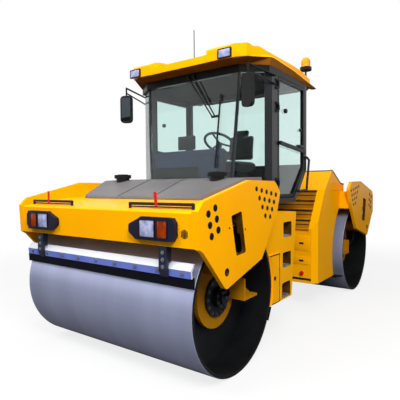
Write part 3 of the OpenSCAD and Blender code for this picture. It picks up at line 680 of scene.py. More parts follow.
def curve_points(points: Sequence[Point], steps: int = 8) -> list[Point]:
    """Smooth path through points.

    Args:
        points: points on the path.
        steps: steps between two points.
    Returns:
        The finer path.
    """
    pts = [Vector(p) for p in points]
    pts = [pts[0] * 2 - pts[1], *pts, pts[-1] * 2 - pts[-2]]
    path: list[Point] = []
    for a, b, c, d in zip(pts, pts[1:], pts[2:], pts[3:]):
        slope, bend, twist = c - a, 2 * a - 5 * b + 4 * c - d, 3 * b - a - 3 * c + d
        for i in range(steps):
            t = i / steps
            path.append(tuple(0.5 * (2 * b + slope * t + bend * t * t + twist * t**3)))
    path.append(tuple(pts[-2]))
    return path


def anywhere(centre: Vector, normal: Vector) -> bool:
    """Fits every face."""
    return True


def by_face(obj: bpy.types.Object, paints: Paintbox, rules: Sequence[Rule]) -> None:
    """Gives the faces of one piece different finishes.

    Args:
        obj: solid of the frame or added piece.
        paints: finishes by name.
        rules: finish names with a test on a face's centre and normal; the first that fits is used.
    """
    mesh = obj.data
    mesh.materials.clear()
    for name, _ in rules:
        mesh.materials.append(paints[name])
    for face in mesh.polygons:
        for i, (_, fits) in enumerate(rules):
            if fits(face.center, face.normal):
                face.material_index = i
                break


@dataclass
class Yoke:
    """Lamps, dots, scraper bolts, hub bolts and hoses of one yoke.

    The sizes are those of the front yoke; at() and box() carry them to either end.
    """

    paints: Paintbox
    end: End
    body: Body
    lens_x: Flat = (2.490, 2.4985)
    lens_z: Flat = (1.247, 1.376)
    main_y: Flat = (0.616, 0.766)
    indicator_y: Flat = (0.796, 0.892)
    bezel_x: Flat = (2.489, 2.5025)
    bezel_z: Flat = (1.242, 1.3825)
    bezel_w: float = 0.006
    bezel_bar: float = 0.0055
    lamp_sunk: float = 0.010
    lamp_proud: float = 0.0392
    inner_end: Outline = (
        (0.625, 1.3995), (0.495, 1.342), (0.488, 1.330), (0.488, 1.282), (0.495, 1.270), (0.562, 1.224),
    )
    outer_end: Outline = (
        (0.900, 1.3995), (0.940, 1.3995), (0.966, 1.366), (0.966, 1.262), (0.940, 1.224), (0.900, 1.224),
    )
    dot_r: float = 0.0225
    big_dot_r: float = 0.028
    dot_lift: float = 0.0001
    dot_t: float = 0.0007
    six_starts: Outline = ((2.335, 1.430), (2.245, 1.470))
    six_step: Flat = (-0.020, -0.085)
    block_start: Flat = (1.600, 1.605)
    block_along: Flat = (-0.095, -0.015)
    block_down: Flat = (-0.055, -0.082)
    block_rows: tuple[int, ...] = (5, 4, 3, 2)
    slot_back: Outline = ((2.003, 1.393), (1.868, 1.419), (1.849, 1.335), (1.989, 1.335))
    slot_back_y: Flat = (0.955, 0.985)
    slot_bolts: Outline = ((2.048, 1.300), (1.800, 1.270))
    bar_bolts: int = 9
    bar_start: float = -0.980
    bar_pitch: float = 0.245
    bar_at: Flat = (2.4245, 0.985)
    bar_lean: float = -0.1
    bracket_lean: float = 0.02
    bracket_span: Flat = (0.740, 0.880)
    bracket_at: Flat = (2.4505, 0.810)
    bracket_zs: Point = (1.020, 1.075, 1.130)
    hose_r: float = 0.014
    hose_shifts: Flat = (0.0, 0.05)
    hose_path: Points = ((1.775, 0.93, 0.66), (1.79, 0.985, 0.70), (1.85, 1.0, 0.80), (1.86, 0.99, 0.905))
    hose_spread: Outline = ((1.0, 1.0), (1.0, 1.0), (1.0, 0.0), (0.6, 0.0))

    @property
    def tag(self) -> str:
        """Name of this end."""
        return self.end.name.lower()

    def at(self, x: float, y: float, z: float) -> Point:
        """Moves a point of the front yoke to this end.

        Args:
            x: place along the machine at the front.
            y: place across.
            z: height.
        Returns:
            The point at this end.
        """
        return (self.end * x, y, z)

    def box(self, bm: bmesh.types.BMesh, low: Point, high: Point, bevel: float) -> None:
        """Adds a box given for the front end.

        Args:
            bm: mesh that receives it.
            low: lowest corner at the front.
            high: highest corner at the front.
            bevel: radius of the edges.
        """
        x0, x1 = span(self.end, low[0], high[0])
        add_box(bm, (x0, low[1], low[2]), (x1, high[1], high[2]), bevel)

    def build(self) -> None:
        """Makes all pieces of this yoke."""
        self.lamps()
        self.dots()
        self.scraper_bolts()
        self.hubs()
        self.slot_shade_and_bolts()

    def lamps(self) -> None:
        """Makes lamp lenses, indicator lenses, their bezels and the housings' bevelled ends."""
        ends, main, indicator, bezels = (bmesh.new() for _ in range(4))
        x0, x1 = span(self.end, SIZES.beam_x - self.lamp_sunk, SIZES.beam_x + self.lamp_proud)
        for side in Side:
            for bm, place in ((main, self.main_y), (indicator, self.indicator_y)):
                y0, y1 = span(side, *place)
                low = (self.lens_x[0], y0, self.lens_z[0])
                self.box(bm, low, (self.lens_x[1], y1, self.lens_z[1]), bevel=0.003)
                self.bezel(bezels, y0, y1)
            for outline in (self.inner_end, self.outer_end):
                add_prism(ends, [(side * y, z) for y, z in outline], Plane.CROSS, x0, x1)
        lens = "white_lens" if self.end is End.FRONT else "red_lens"
        for name, bm, finish, slot in (
            ("lamp_tips", ends, "lamp_abs", Slot.BLACK),
            ("main_lenses", main, lens, Slot.GLASS),
            ("indicator_lenses", indicator, "indicator_lens", Slot.AMBER),
            ("lamp_bezels", bezels, "black_abs", Slot.BLACK),
        ):
            new_object(f"{self.tag}_{name}", bm, self.paints[finish], self.body)

    def bezel(self, bm: bmesh.types.BMesh, y0: float, y1: float) -> None:
        """Adds the four bars round a lens.

        Args:
            bm: mesh that receives them.
            y0: lower end of the lens across the machine.
            y1: upper end of the lens across the machine.
        """
        (x0, x1), (z0, z1), w, bar = self.bezel_x, self.bezel_z, self.bezel_w, self.bezel_bar
        for z in (z0, z1 - w):
            self.box(bm, (x0, y0 - w, z), (x1, y1 + w, z + w), bevel=0.0015)
        for y in (y0 - w, y1 + w - bar):
            self.box(bm, (x0, y, z0), (x1, y + bar, z1), bevel=0.0015)

    def dot_places(self) -> list[Point]:
        """Places of the dots on a front side plate.

        Returns:
            Place along the machine, height and radius of each dot.
        """
        spots = []
        for x, z in self.six_starts:
            spots += [(x + self.six_step[0] * i, z + self.six_step[1] * i, self.big_dot_r) for i in range(3)]
        for row, count in enumerate(self.block_rows):
            for k in range(count):
                x = self.block_start[0] + self.block_along[0] * k + self.block_down[0] * row
                z = self.block_start[1] + self.block_along[1] * k + self.block_down[1] * row
                spots.append((x, z, self.dot_r))
        return spots

    def dots(self) -> None:
        """Makes the plain round decals on both side plates."""
        bm = bmesh.new()
        for side in Side:
            y = side * (SIZES.plate_out + self.dot_lift)
            for x, z, radius in self.dot_places():
                add_disc(bm, self.at(x, y, z), (0, side, 0), radius, self.dot_t)
        new_object(f"{self.tag}_dots", bm, self.paints["cut_vinyl"], self.body)

    def scraper_bolts(self) -> None:
        """Makes the row of bolts on the scraper's bar and on its brackets."""
        bm = bmesh.new()
        x, z = self.bar_at
        for i in range(self.bar_bolts):
            y = self.bar_start + self.bar_pitch * i
            if not self.bracket_span[0] < abs(y) < self.bracket_span[1]:
                add_bolt(bm, self.at(x, y, z), (self.end, 0, self.bar_lean), across=0.024)
        x, y = self.bracket_at
        for side in Side:
            for z in self.bracket_zs:
                add_bolt(bm, self.at(x, side * y, z), (self.end, 0, self.bracket_lean), across=0.022)
        new_object(f"{self.tag}_scraper_bolts", bm, self.paints["zinc_bolt"], self.body)

    def hubs(self) -> None:
        """Makes the bolt rings and hoses of the drive motors."""
        bolts, hoses = bmesh.new(), bmesh.new()
        for side in Side:
            outer, inner = circle(radius=0.160, count=14), circle(radius=0.078, count=8, start=20)
            self.bolt_ring(bolts, side, y=0.867, points=outer, across=0.026)
            self.bolt_ring(bolts, side, y=0.915, points=inner, across=0.018)
            for k in self.hose_shifts:
                spots = zip(self.hose_path, self.hose_spread)
                path = [self.at(x + k * a, side * y, z + k * b) for (x, y, z), (a, b) in spots]
                add_tube(hoses, curve_points(path), self.hose_r)
                add_disc(bolts, path[0], (0, side, 0), radius=0.021, height=0.03, sides=6, bevel=0.002)
        new_object(f"{self.tag}_hub_bolts", bolts, self.paints["oiled_bolt"], self.body)
        new_object(f"{self.tag}_motor_hoses", hoses, self.paints["black_rubber"], self.body)

    def bolt_ring(
        self, bm: bmesh.types.BMesh, side: Side, y: float, points: Sequence[Flat], across: float
    ) -> None:
        """Adds bolts in a ring round the axle.

        Args:
            bm: mesh that receives them.
            side: side of the machine.
            y: distance of the seat from the middle.
            points: places of the bolts about the axle.
            across: size of the bolts across the corners.
        """
        x, _, z = self.at(SIZES.axle_x, 0.0, SIZES.axle_z)
        for a, b in points:
            add_bolt(bm, (x + a, side * y, z + b), (0, side, 0), across)

    def slot_shade_and_bolts(self) -> None:
        """Makes dark sheets behind the side plates' slots, painted shade in the openings, and the small
        bolts beside them.
        """
        shade_backs, bolts = bmesh.new(), bmesh.new()
        outline = [(self.end * x, z) for x, z in self.slot_back]
        for side in Side:
            add_prism(shade_backs, outline, Plane.SIDE, *span(side, *self.slot_back_y))
            for x, z in self.slot_bolts:
                add_bolt(bolts, self.at(x, side * SIZES.plate_out, z), (0, side, 0), across=0.011)
        new_object(f"{self.tag}_slot_backs", shade_backs, self.paints["primed_inside"], self.body)
        new_object(f"{self.tag}_slot_bolts", bolts, self.paints["cut_vinyl"], self.body)


@dataclass
class FrontTrim:
    """Pieces that only the front end has: horn grille, rail tags, cap grips and tread studs."""

    paints: Paintbox
    horn_at: Flat = (1.028, 1.284)
    horn_r: float = 0.034
    horn_slots: int = 5
    horn_pitch: float = 0.0125
    horn_half_slot: float = 0.0032
    horn_depth: Flat = (-0.004, 0.0012)
    tag_x: Flat = (2.3815, 2.3855)
    tag_z: Flat = (1.478, 1.592)
    tag_half: Flat = (0.013, 0.015)
    tag_places: Outline = ((0.692, -0.016), (-0.752, 0.0))
    cap_at: Flat = (1.470, 0.660)
    cap_z: float = 1.745
    cap_top: float = 1.7655
    cap_r: float = 0.0925
    rib_count: int = 28
    rib_size: Point = (0.006, 0.009, 0.034)
    tread_at: Flat = (0.7555, 0.433)
    tread_lean: float = 0.0496 / 0.909
    tread_top: float = 0.016
    stud_rows: int = 5
    stud_start: Flat = (-0.060, 0.890)
    stud_pitch: Flat = (0.030, 0.036)

    def build(self) -> None:
        """Makes the pieces."""
        self.horn()
        self.tags()
        self.cap_grips()
        self.studs()

    def horn(self) -> None:
        """Makes the horn grille's slots on the left of the beam as near black boxes: painted shade in the
        openings.
        """
        bm = bmesh.new()
        mid, z = self.horn_at
        x0, x1 = (SIZES.beam_x + depth for depth in self.horn_depth)
        for i in range(self.horn_slots):
            off = self.horn_pitch * (i - (self.horn_slots - 1) / 2)
            y, half = mid + off, math.sqrt(self.horn_r**2 - off**2)
            low = (x0, y - self.horn_half_slot, z - half)
            add_box(bm, low, (x1, y + self.horn_half_slot, z + half), bevel=0.0008)
        new_object("horn_slots", bm, self.paints["primed_inside"], Body.FRONT)

    def tags(self) -> None:
        """Makes the plain red markers on the front rails."""
        bm = bmesh.new()
        foot, head = self.tag_half
        for y, tilt in self.tag_places:
            upper = [(y - head + tilt, self.tag_z[1]), (y + head + tilt, self.tag_z[1])]
            lower = [(y + foot, self.tag_z[0]), (y - foot, self.tag_z[0])]
            add_prism(bm, upper + lower, Plane.CROSS, *self.tag_x)
        new_object("rail_tags", bm, self.paints["red_pvc"], Body.FRONT)

    def cap_grips(self) -> None:
        """Makes the ribs round the filler caps and the ring on their tops."""
        bm = bmesh.new()
        x, y = self.cap_at
        size = Vector(self.rib_size)
        for side in Side:
            for i in range(self.rib_count):
                turn = Matrix.Rotation(2 * math.pi * i / self.rib_count, 4, "Z")
                middle = Matrix.Translation((x, side * y, self.cap_z))
                spot = middle @ turn @ Matrix.Translation((self.cap_r, 0, 0))
                for v in bmesh.ops.create_cube(bm, size=1.0)["verts"]:
                    v.co = spot @ (v.co * size)
            top = (x, side * y, self.cap_top)
            add_disc(bm, top, (0, 0, 1), radius=0.060, height=0.006, sides=40, bevel=0.003)
        new_object("cap_grips", bm, self.paints["black_abs"], Body.FRONT)

    def studs(self) -> None:
        """Makes the grip studs on the step treads."""
        bm = bmesh.new()
        x, foot_z = self.tread_at
        for z in SIZES.foot_zs:
            start = x - (z - foot_z) * self.tread_lean + self.stud_start[0]
            for side in Side:
                for i in range(self.stud_rows):
                    for j in range(self.stud_rows):
                        y = self.stud_start[1] + self.stud_pitch[1] * j
                        at = (start + self.stud_pitch[0] * i, side * y, z + self.tread_top)
                        add_disc(bm, at, (0, 0, 1), radius=0.008, height=0.004, sides=10, bevel=0.002)
        new_object("tread_studs", bm, self.paints["tread_plate"], Body.FRONT)


@dataclass
class CabFittings:
    """Pieces in and on the cab: headliner, roof edge, lenses, mirror panes, display and handles."""

    paints: Paintbox
    liner_plan: Outline = (
        (0.965, -0.60), (0.965, 0.60), (0.84, 0.84), (-0.085, 0.84), (-0.085, -0.84), (0.84, -0.84),
    )
    liner_z: Flat = (2.872, 2.884)
    skirt_path: Points = (
        (-0.43, 2.876, 0.004), (-0.16, 2.903, 0.045), (0.325, 2.952, 0.066), (0.755, 2.972, 0.078),
        (0.86, 2.968, 0.078),
    )
    skirt_y: tuple[float, ...] = (0.875, 0.926, 0.938, 0.9165)
    skirt_rise: Flat = (0.040, 0.016)
    skirt_corners: tuple[Points, ...] = (
        (
            (1.00, 0.72, 2.985), (1.108, 0.803, 2.957), (1.108, 0.803, 2.944), (1.005, 0.728, 2.900),
            (0.98, 0.70, 2.900),
        ),
        (
            (1.10, 0.62, 2.955), (1.245, 0.62, 2.925), (1.250, 0.62, 2.9165), (1.056, 0.645, 2.9065),
            (1.03, 0.62, 2.9065),
        ),
    )
    roof_lens: Box = ((1.284, 0.560, 2.926), (1.2905, 0.695, 3.002))
    mirror_at: Point = (1.207, 0.855, 2.580)
    mirror_turn: float = 20.0
    mirror_half: Flat = (0.058, 0.142)
    mirror_t: float = 0.0023
    mirror_back: float = -0.0245
    mirror_front: float = 0.0222
    display: Box = ((0.955, -0.22, 2.055), (0.99, 0.02, 2.215))
    screen: Box = ((0.9535, -0.205, 2.07), (0.956, 0.005, 2.20))
    stalk: Points = ((0.965, -0.1, 2.02), (0.97, -0.1, 2.08))
    lever: Points = ((0.42, -0.06, 1.80), (0.44, -0.06, 1.92), (0.50, -0.06, 2.0))
    lever_knob: Point = (0.50, -0.06, 1.985)
    armrest: Box = ((0.30, -0.085, 1.77), (0.62, -0.035, 1.81))
    heater: Box = ((0.86, -0.60, 1.70), (1.00, 0.09, 1.862))
    pane_y: float = 0.8965
    latch_at: Flat = (0.450, 2.470)
    stop_at: Flat = (0.020, 2.300)
    handle: Box = ((0.0, 0.897, 2.075), (0.14, 0.945, 2.115))

    def build(self) -> None:
        """Makes the pieces."""
        self.liner()
        self.skirt()
        self.roof_lenses()
        self.mirror_panes()
        self.dash()
        self.handles()

    def liner(self) -> None:
        """Makes the dark lining under the roof."""
        bm = bmesh.new()
        add_prism(bm, self.liner_plan, Plane.PLAN, *self.liner_z)
        new_object("headliner", bm, self.paints["felt_liner"], Body.FRONT)

    def skirt(self) -> None:
        """Makes the sloping lower edge of the roof along its sides, corners and front."""
        inside, upper, outer, foot = self.skirt_y
        half: list[Points] = []
        for x, z, drop in self.skirt_path:
            ring = ((x, inside, z + self.skirt_rise[0]), (x, upper, z + self.skirt_rise[1]), (x, outer, z))
            half.append((*ring, (x, foot, z - drop), (x, inside, z - drop)))
        half += self.skirt_corners
        bm = bmesh.new()
        join_rings(bm, half + [tuple((x, -y, z) for x, y, z in ring) for ring in reversed(half)])
        enamel = self.paints["yellow_enamel"]
        skirt = new_object("roof_skirt", bm, enamel, Body.FRONT, smooth=False)
        # Faces turned down take the brown enamel: painted shade under the roof's edge.
        by_face(skirt, self.paints, [("eave_enamel", lambda c, n: n.z < -0.15), ("yellow_enamel", anywhere)])

    def roof_lenses(self) -> None:
        """Makes the lenses of the roof lamps."""
        bm = bmesh.new()
        low, high = self.roof_lens
        for side in Side:
            y0, y1 = span(side, low[1], high[1])
            add_box(bm, (low[0], y0, low[2]), (high[0], y1, high[2]), bevel=0.003)
        new_object("roof_lamp_lenses", bm, self.paints["white_lens"], Body.FRONT)

    def mirror_panes(self) -> None:
        """Makes the mirror panes: the left one looks back, the right one looks over the drum."""
        bm = bmesh.new()
        x, y, z = self.mirror_at
        wide, tall = self.mirror_half
        for side, face in ((Side.LEFT, self.mirror_back), (Side.RIGHT, self.mirror_front)):
            turn = Matrix.Rotation(-side * math.radians(self.mirror_turn), 4, "Z")
            spot = Matrix.Translation((x, side * y, z)) @ turn
            before = len(bm.verts)
            add_box(bm, (face, -wide, -tall), (face + self.mirror_t, wide, tall), bevel=0.001)
            bm.verts.ensure_lookup_table()
            for v in bm.verts[before:]:
                v.co = spot @ v.co
        new_object("mirror_panes", bm, self.paints["mirror_glass"], Body.FRONT)

    def dash(self) -> None:
        """Makes the display with its stalk, the lever on its armrest and the heater box."""
        bm, screen = bmesh.new(), bmesh.new()
        add_box(bm, *self.display, bevel=0.008)
        add_box(screen, *self.screen, bevel=0.001)
        add_tube(bm, self.stalk, radius=0.018)
        add_tube(bm, curve_points(self.lever), radius=0.016)
        add_disc(bm, self.lever_knob, (0.4, 0, 1), radius=0.028, height=0.09, sides=20, bevel=0.01)
        add_box(bm, *self.armrest, bevel=0.012)
        add_box(bm, *self.heater, bevel=0.02)
        new_object("console_display", bm, self.paints["black_abs"], Body.FRONT)
        new_object("console_screen", screen, self.paints["dark_display"], Body.FRONT)

    def handles(self) -> None:
        """Makes the door handles and the round stops on the panes."""
        low, high = self.handle
        for side, body in ((Side.LEFT, Body.DOOR_L), (Side.RIGHT, Body.DOOR_R)):
            bm = bmesh.new()
            out = (0, side, 0)
            latch = (self.latch_at[0], side * self.pane_y, self.latch_at[1])
            stop = (self.stop_at[0], side * self.pane_y, self.stop_at[1])
            add_disc(bm, latch, out, radius=0.026, height=0.03, sides=24, bevel=0.006)
            add_disc(bm, stop, out, radius=0.020, height=0.025, sides=20, bevel=0.005)
            y0, y1 = span(side, low[1], high[1])
            add_box(bm, (low[0], y0, low[2]), (high[0], y1, high[2]), bevel=0.01)
            name = f"door_handle_{side.name.lower()}"
            new_object(name, bm, self.paints["black_abs"], body)


@dataclass
class RearTrim:
    """Pieces on the rear body and engine hood: panels, pulls, knob, seals, and painted shade on the louvres.
    """

    paints: Paintbox
    wall_x: float = -0.280
    panel_y: Flat = (0.690, 0.915)
    panel_zs: Outline = ((0.780, 0.975), (0.600, 0.700))
    pull_half: Flat = (0.030, 0.012)
    low_slot_y: Flat = (0.655, 0.928)
    low_slot_z: Flat = (0.396, 0.424)
    knob_at: Flat = (0.808, 0.487)
    ridge: Box = ((-0.902, -0.97, 1.823), (-0.852, 0.97, 1.834))
    lid_edge: Outline = ((-0.912, 1.830), (-0.966, 1.830), (-1.336, 1.648), (-1.470, 1.640))
    lid_edge_y: float = 0.968
    slope_z: float = 1.067
    slope_run: float = -0.310
    slope_rise: float = 0.500
    louvres: int = 4
    louvre_half: float = 0.895
    strip_sunk: float = 0.002
    # Fields between the louvres and dark lines across them: painted shade on the louvred slope.
    field_trim: Flat = (0.004, 0.030)
    field_proud: Flat = (0.0015, 0.001)
    shade_below_head: Flat = (0.075, 0.030)
    shade_above_foot: Flat = (0.088, 0.108)
    shade_proud: Flat = (0.003, 0.002)
    panel_x: Flat = (-0.001, 0.006)
    pull_x: Flat = (0.005, 0.012)
    low_slot_x: Flat = (-0.001, 0.003)

    def build(self) -> None:
        """Makes the pieces."""
        self.panels()
        self.seals()
        self.louvre_lines()

    def panels(self) -> None:
        """Makes the panels, pulls, slots and knob on the body's front wall."""
        sheet, dark, knob = (bmesh.new() for _ in range(3))
        wide, tall = self.pull_half
        for side in Side:
            y0, y1 = span(side, *self.panel_y)
            y = (y0 + y1) / 2
            for z0, z1 in self.panel_zs:
                z = (z0 + z1) / 2
                self.wall_box(sheet, self.panel_x, (y0, y1), (z0, z1), bevel=0.003)
                self.wall_box(dark, self.pull_x, (y - wide, y + wide), (z - tall, z + tall), bevel=0.003)
            # The low slot is a dark box on the wall: painted shade in the opening.
            self.wall_box(dark, self.low_slot_x, span(side, *self.low_slot_y), self.low_slot_z, bevel=0.001)
        at = (self.wall_x, *self.knob_at)
        add_disc(knob, at, (1, 0, 0), radius=0.026, height=0.03, sides=24, bevel=0.006)
        new_object("rear_wall_panels", sheet, self.paints["yellow_enamel"], Body.REAR)
        new_object("rear_wall_pulls", dark, self.paints["powder_grey"], Body.REAR)
        new_object("rear_wall_knob", knob, self.paints["red_pvc"], Body.REAR)

    def wall_box(self, bm: bmesh.types.BMesh, xs: Flat, ys: Flat, zs: Flat, bevel: float) -> None:
        """Adds a box on the body's front wall.

        Args:
            bm: mesh that receives it.
            xs: its back and front, measured from the wall.
            ys: its ends across the machine.
            zs: its lower and upper edge.
            bevel: radius of its edges.
        """
        low = (self.wall_x + xs[0], ys[0], zs[0])
        add_box(bm, low, (self.wall_x + xs[1], ys[1], zs[1]), bevel)

    def seals(self) -> None:
        """Makes the black seals along the ridge and on the engine hood's upper edges."""
        ridge, lid = bmesh.new(), bmesh.new()
        add_box(ridge, *self.ridge, bevel=0.004)
        for side in Side:
            path = [(x, side * self.lid_edge_y, z) for x, z in self.lid_edge]
            add_tube(lid, path, radius=0.012, sides=10)
        new_object("ridge_seal", ridge, self.paints["black_rubber"], Body.REAR)
        new_object("hood_seals", lid, self.paints["black_rubber"], Body.HOOD)

    def slope_strip(self, bm: bmesh.types.BMesh, start: float, end: float, proud: Flat) -> None:
        """Adds a strip across the louvred slope.

        Args:
            bm: mesh that receives it.
            start: lower edge as a share of the slope.
            end: upper edge as a share of the slope.
            proud: how far the strip stands out forward and up.
        """
        low, high = (
            (self.wall_x + self.slope_run * t, self.slope_z + self.slope_rise * t) for t in (start, end)
        )
        outline = [(x - self.strip_sunk, z) for x, z in (low, high)]
        outline += [(x + proud[0], z + proud[1]) for x, z in (high, low)]
        add_prism(bm, outline, Plane.SIDE, -self.louvre_half, self.louvre_half)

    def louvre_lines(self) -> None:
        """Makes the fields between the louvres and the dark lines under and across them, all painted shade.
        """
        fields, shade_lines = bmesh.new(), bmesh.new()
        feet = [i / self.louvres for i in range(self.louvres)]
        heads = [(i + 1) / self.louvres for i in range(self.louvres)]
        start, end = self.field_trim
        for foot, head in zip(feet, heads):
            self.slope_strip(fields, foot + start, head - end, self.field_proud)
        start, end = self.shade_below_head
        for head in heads:
            self.slope_strip(shade_lines, head - start, head - end, self.shade_proud)
        start, end = self.shade_above_foot
        for foot in feet:
            self.slope_strip(shade_lines, foot + start, foot + end, self.shade_proud)
        new_object("louvre_fields", fields, self.paints["shaded_enamel"], Body.REAR)
        new_object("louvre_gaps", shade_lines, self.paints["primed_inside"], Body.REAR)


@dataclass
class ServiceDoors:
    """Black strips round the edges of the two service doors, a rubber strip along the top and painted shadow
    along the rear edge, and their latches.
    """

    paints: Paintbox
    face_y: float = 1.0693
    edge_sunk: float = 0.0005
    edge_proud: float = 0.002
    latch_at: Flat = (1.055, 0.700)
    # The top strip is rubber; the strip at the rear edge is painted shadow.
    seals: tuple[tuple[Flat, Flat], ...] = (
        ((0.940, 0.930), (1.150, 0.941)),
        ((0.940, 0.443), (0.950, 0.941)),
        ((0.940, 0.442), (1.120, 0.452)),
    )

    def build(self) -> None:
        """Makes the pieces."""
        for side, body in ((Side.LEFT, Body.SERVICE_L), (Side.RIGHT, Body.SERVICE_R)):
            edge_strips, latch = bmesh.new(), bmesh.new()
            y0, y1 = span(side, self.face_y - self.edge_sunk, self.face_y + self.edge_proud)
            for low, high in self.seals:
                add_box(edge_strips, (low[0], y0, low[1]), (high[0], y1, high[1]), bevel=0.0008)
            at = (self.latch_at[0], side * self.face_y, self.latch_at[1])
            add_disc(latch, at, (0, side, 0), radius=0.02, height=0.006, sides=24, bevel=0.002)
            name = side.name.lower()
            new_object(f"service_seal_{name}", edge_strips, self.paints["black_rubber"], body)
            new_object(f"service_latch_{name}", latch, self.paints["black_abs"], body)


@dataclass
class Seat:
    """Driver's seat: padded cushion and backrest in place of the plain pads."""

    paints: Paintbox
    seat_y: float = 0.240
    floor: float = 1.490
    cushion_x: Flat = (0.290, 0.760)
    cushion_z: Flat = (0.325, 0.415)
    cushion_half: float = 0.225
    cushion_cap: float = 0.014
    back_x: Flat = (0.0, 0.082)
    back_z: Flat = (0.452, 0.846)
    back_half: float = 0.178
    back_cap: float = 0.012
    shoulder: float = 0.085
    head_x: Flat = (0.006, 0.076)
    head_half: float = 0.098
    head_h: float = 0.130
    foot_x: float = 0.285
    recline: float = 0.062
    taper: float = 0.14
    taper_from: float = 0.55
    voxel: float = 0.006
    pressure: float = 4.0
    frames: int = 20

    def build(self) -> None:
        """Makes both pads."""
        base = bmesh.new()
        self.block(base, self.cushion_x, self.cushion_half, self.cushion_z, bevel=0.035)
        cushion = self.pad("seat_cushion", base, self.cushion_cap)
        back = bmesh.new()
        low, high = self.back_z
        self.block(back, self.back_x, self.back_half, (low, high - self.shoulder), bevel=0.035)
        self.block(back, self.head_x, self.head_half, (high - self.head_h, high), bevel=0.03)
        for v in back.verts:
            t = (v.co.z - self.floor - low) / (high - low)
            v.co.x += self.foot_x - self.recline * t
            narrow = 1 - self.taper * max(0.0, t - self.taper_from)
            v.co.y = self.seat_y + (v.co.y - self.seat_y) * narrow
        self.pad("seat_backrest", back, self.back_cap)
        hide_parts("seat_pads")

    def block(self, bm: bmesh.types.BMesh, xs: Flat, half: float, zs: Flat, bevel: float) -> None:
        """Adds a rounded block in the middle of the seat.

        Args:
            bm: mesh that receives it.
            xs: its rear and front.
            half: half its width.
            zs: its lower and upper face above the cab's floor.
            bevel: radius of its edges.
        """
        low = (xs[0], self.seat_y - half, self.floor + zs[0])
        add_box(bm, low, (xs[1], self.seat_y + half, self.floor + zs[1]), bevel, segments=4)

    def pad(self, name: str, bm: bmesh.types.BMesh, cap: float) -> bpy.types.Object:
        """Turns a rounded block into a swollen cloth pad.

        Args:
            name: name of the pad.
            bm: the block.
            cap: how far a point may move.
        Returns:
            The finished pad.
        """
        obj = new_object(name, bm, self.paints["woven_cloth"], Body.FRONT)
        self.swell(obj, cap)
        return obj

    def swell(self, obj: bpy.types.Object, cap: float) -> None:
        """Inflates a pad as cloth and keeps the result.

        Args:
            obj: the pad.
            cap: how far a point may move.
        """
        scene = bpy.context.scene
        bpy.context.view_layer.objects.active = obj
        remesh = obj.modifiers.new("voxels", "REMESH")
        remesh.mode = "VOXEL"
        remesh.voxel_size = self.voxel
        self.apply(obj, remesh)
        start = [v.co.copy() for v in obj.data.vertices]
        cloth = obj.modifiers.new("cloth", "CLOTH")
        cloth.settings.use_pressure = True
        cloth.settings.uniform_pressure_force = self.pressure
        cloth.settings.effector_weights.gravity = 0.0
        for frame_no in range(1, self.frames + 1):
            scene.frame_set(frame_no)
        shaped = obj.evaluated_get(bpy.context.evaluated_depsgraph_get())
        moved = [v.co.copy() for v in shaped.to_mesh().vertices]
        shaped.to_mesh_clear()
        obj.modifiers.remove(cloth)
        for v, a, b in zip(obj.data.vertices, start, moved):
            step = b - a
            v.co = a + step * min(1.0, cap / max(step.length, 1e-9))
        scene.frame_set(1)
        finer = obj.modifiers.new("finer", "SUBSURF")
        finer.levels = 1
        finer.render_levels = 1
        self.apply(obj, finer)
        obj.data.shade_smooth()
        LOG.info("pad %s swollen", obj.name)

    @staticmethod
    def apply(obj: bpy.types.Object, modifier: bpy.types.Modifier) -> None:
        """Applies a modifier to its object."""
        with bpy.context.temp_override(object=obj, active_object=obj):
            bpy.ops.object.modifier_apply(modifier=modifier.name)


ONE_FINISH: Mapping[str, tuple[str, ...]] = {
    # The louvres take the enamel with painted shade.
    "shaded_enamel": ("louvres",),
    "yellow_enamel": ("front_bridge", "service_door_left", "service_door_right", "rear_body"),
    # The drum carriers take enamel with painted shade.
    "dusty_enamel": ("front_carriers", "rear_carriers"),
    "powder_grey": ("cab_floor", "front_rails", "grab_rails", "knuckle"),
    "header_coat": ("door_left", "door_right"),
    "cast_block": ("engine",),
    "moulded_hood": ("tank_hood",),
    "lamp_abs": ("front_lamps", "rear_lamps"),
    "black_abs": (
        "filler_caps", "mirrors", "wiper", "roof_fittings", "seat_base", "front_motors", "rear_motors",
    ),
    "navy_abs": ("console",),
    "tread_plate": ("step_treads",),
    "hard_chrome": ("steer_rod_left", "steer_rod_right"),
    "window_glass": ("door_left_glass", "door_right_glass"),
    "woven_cloth": ("seat_pads",),
}


@dataclass(frozen=True)
class FaceZones:
    """Stretches of the solids whose faces take a finish of their own."""

    skin: float = 0.001
    rim_t: float = 0.02
    step_depth: float = 0.195
    step_x: Flat = (0.55, 0.90)
    step_sill: float = 0.002
    step_h: float = 0.162
    plate_in: float = 0.90
    slot_x: Flat = (0.0, 0.26)
    slot_z: Flat = (0.40, 0.79)
    eye_r: float = 0.04
    bracket_y: Flat = (0.765, 0.855)
    bracket_z: float = 0.93
    lip_z: float = 0.958
    corner_x: float = 0.6
    corner_y: float = 0.62
    eave_x: float = 0.3
    header_z: float = 2.80
    lens_z: float = 3.1695


ZONES = FaceZones()


def between(value: float, limits: Flat) -> bool:
    """Tells whether a value lies inside limits."""
    return limits[0] < value < limits[1]


def on_rim(axle_x: float) -> FaceTest:
    """Test for the running face of a drum.

    Args:
        axle_x: place of the drum's axle.
    Returns:
        The test on a face's centre and normal.
    """
    reach = SIZES.drum_r - ZONES.rim_t
    return lambda c, n: math.hypot(c.x - axle_x, c.z - SIZES.axle_z) > reach and abs(n.y) < 0.9


def in_pocket(c: Vector, n: Vector) -> bool:
    """Tells whether a face lies inside a step opening.

    Args:
        c: centre of the face.
        n: normal of the face, not used.
    Returns:
        True inside an opening.
    """
    deep = between(abs(c.y), (SIZES.step_out - ZONES.step_depth, SIZES.step_out - ZONES.skin))
    level = any(z - ZONES.step_sill < c.z < z + ZONES.step_h for z in SIZES.foot_zs)
    return deep and between(c.x, ZONES.step_x) and level


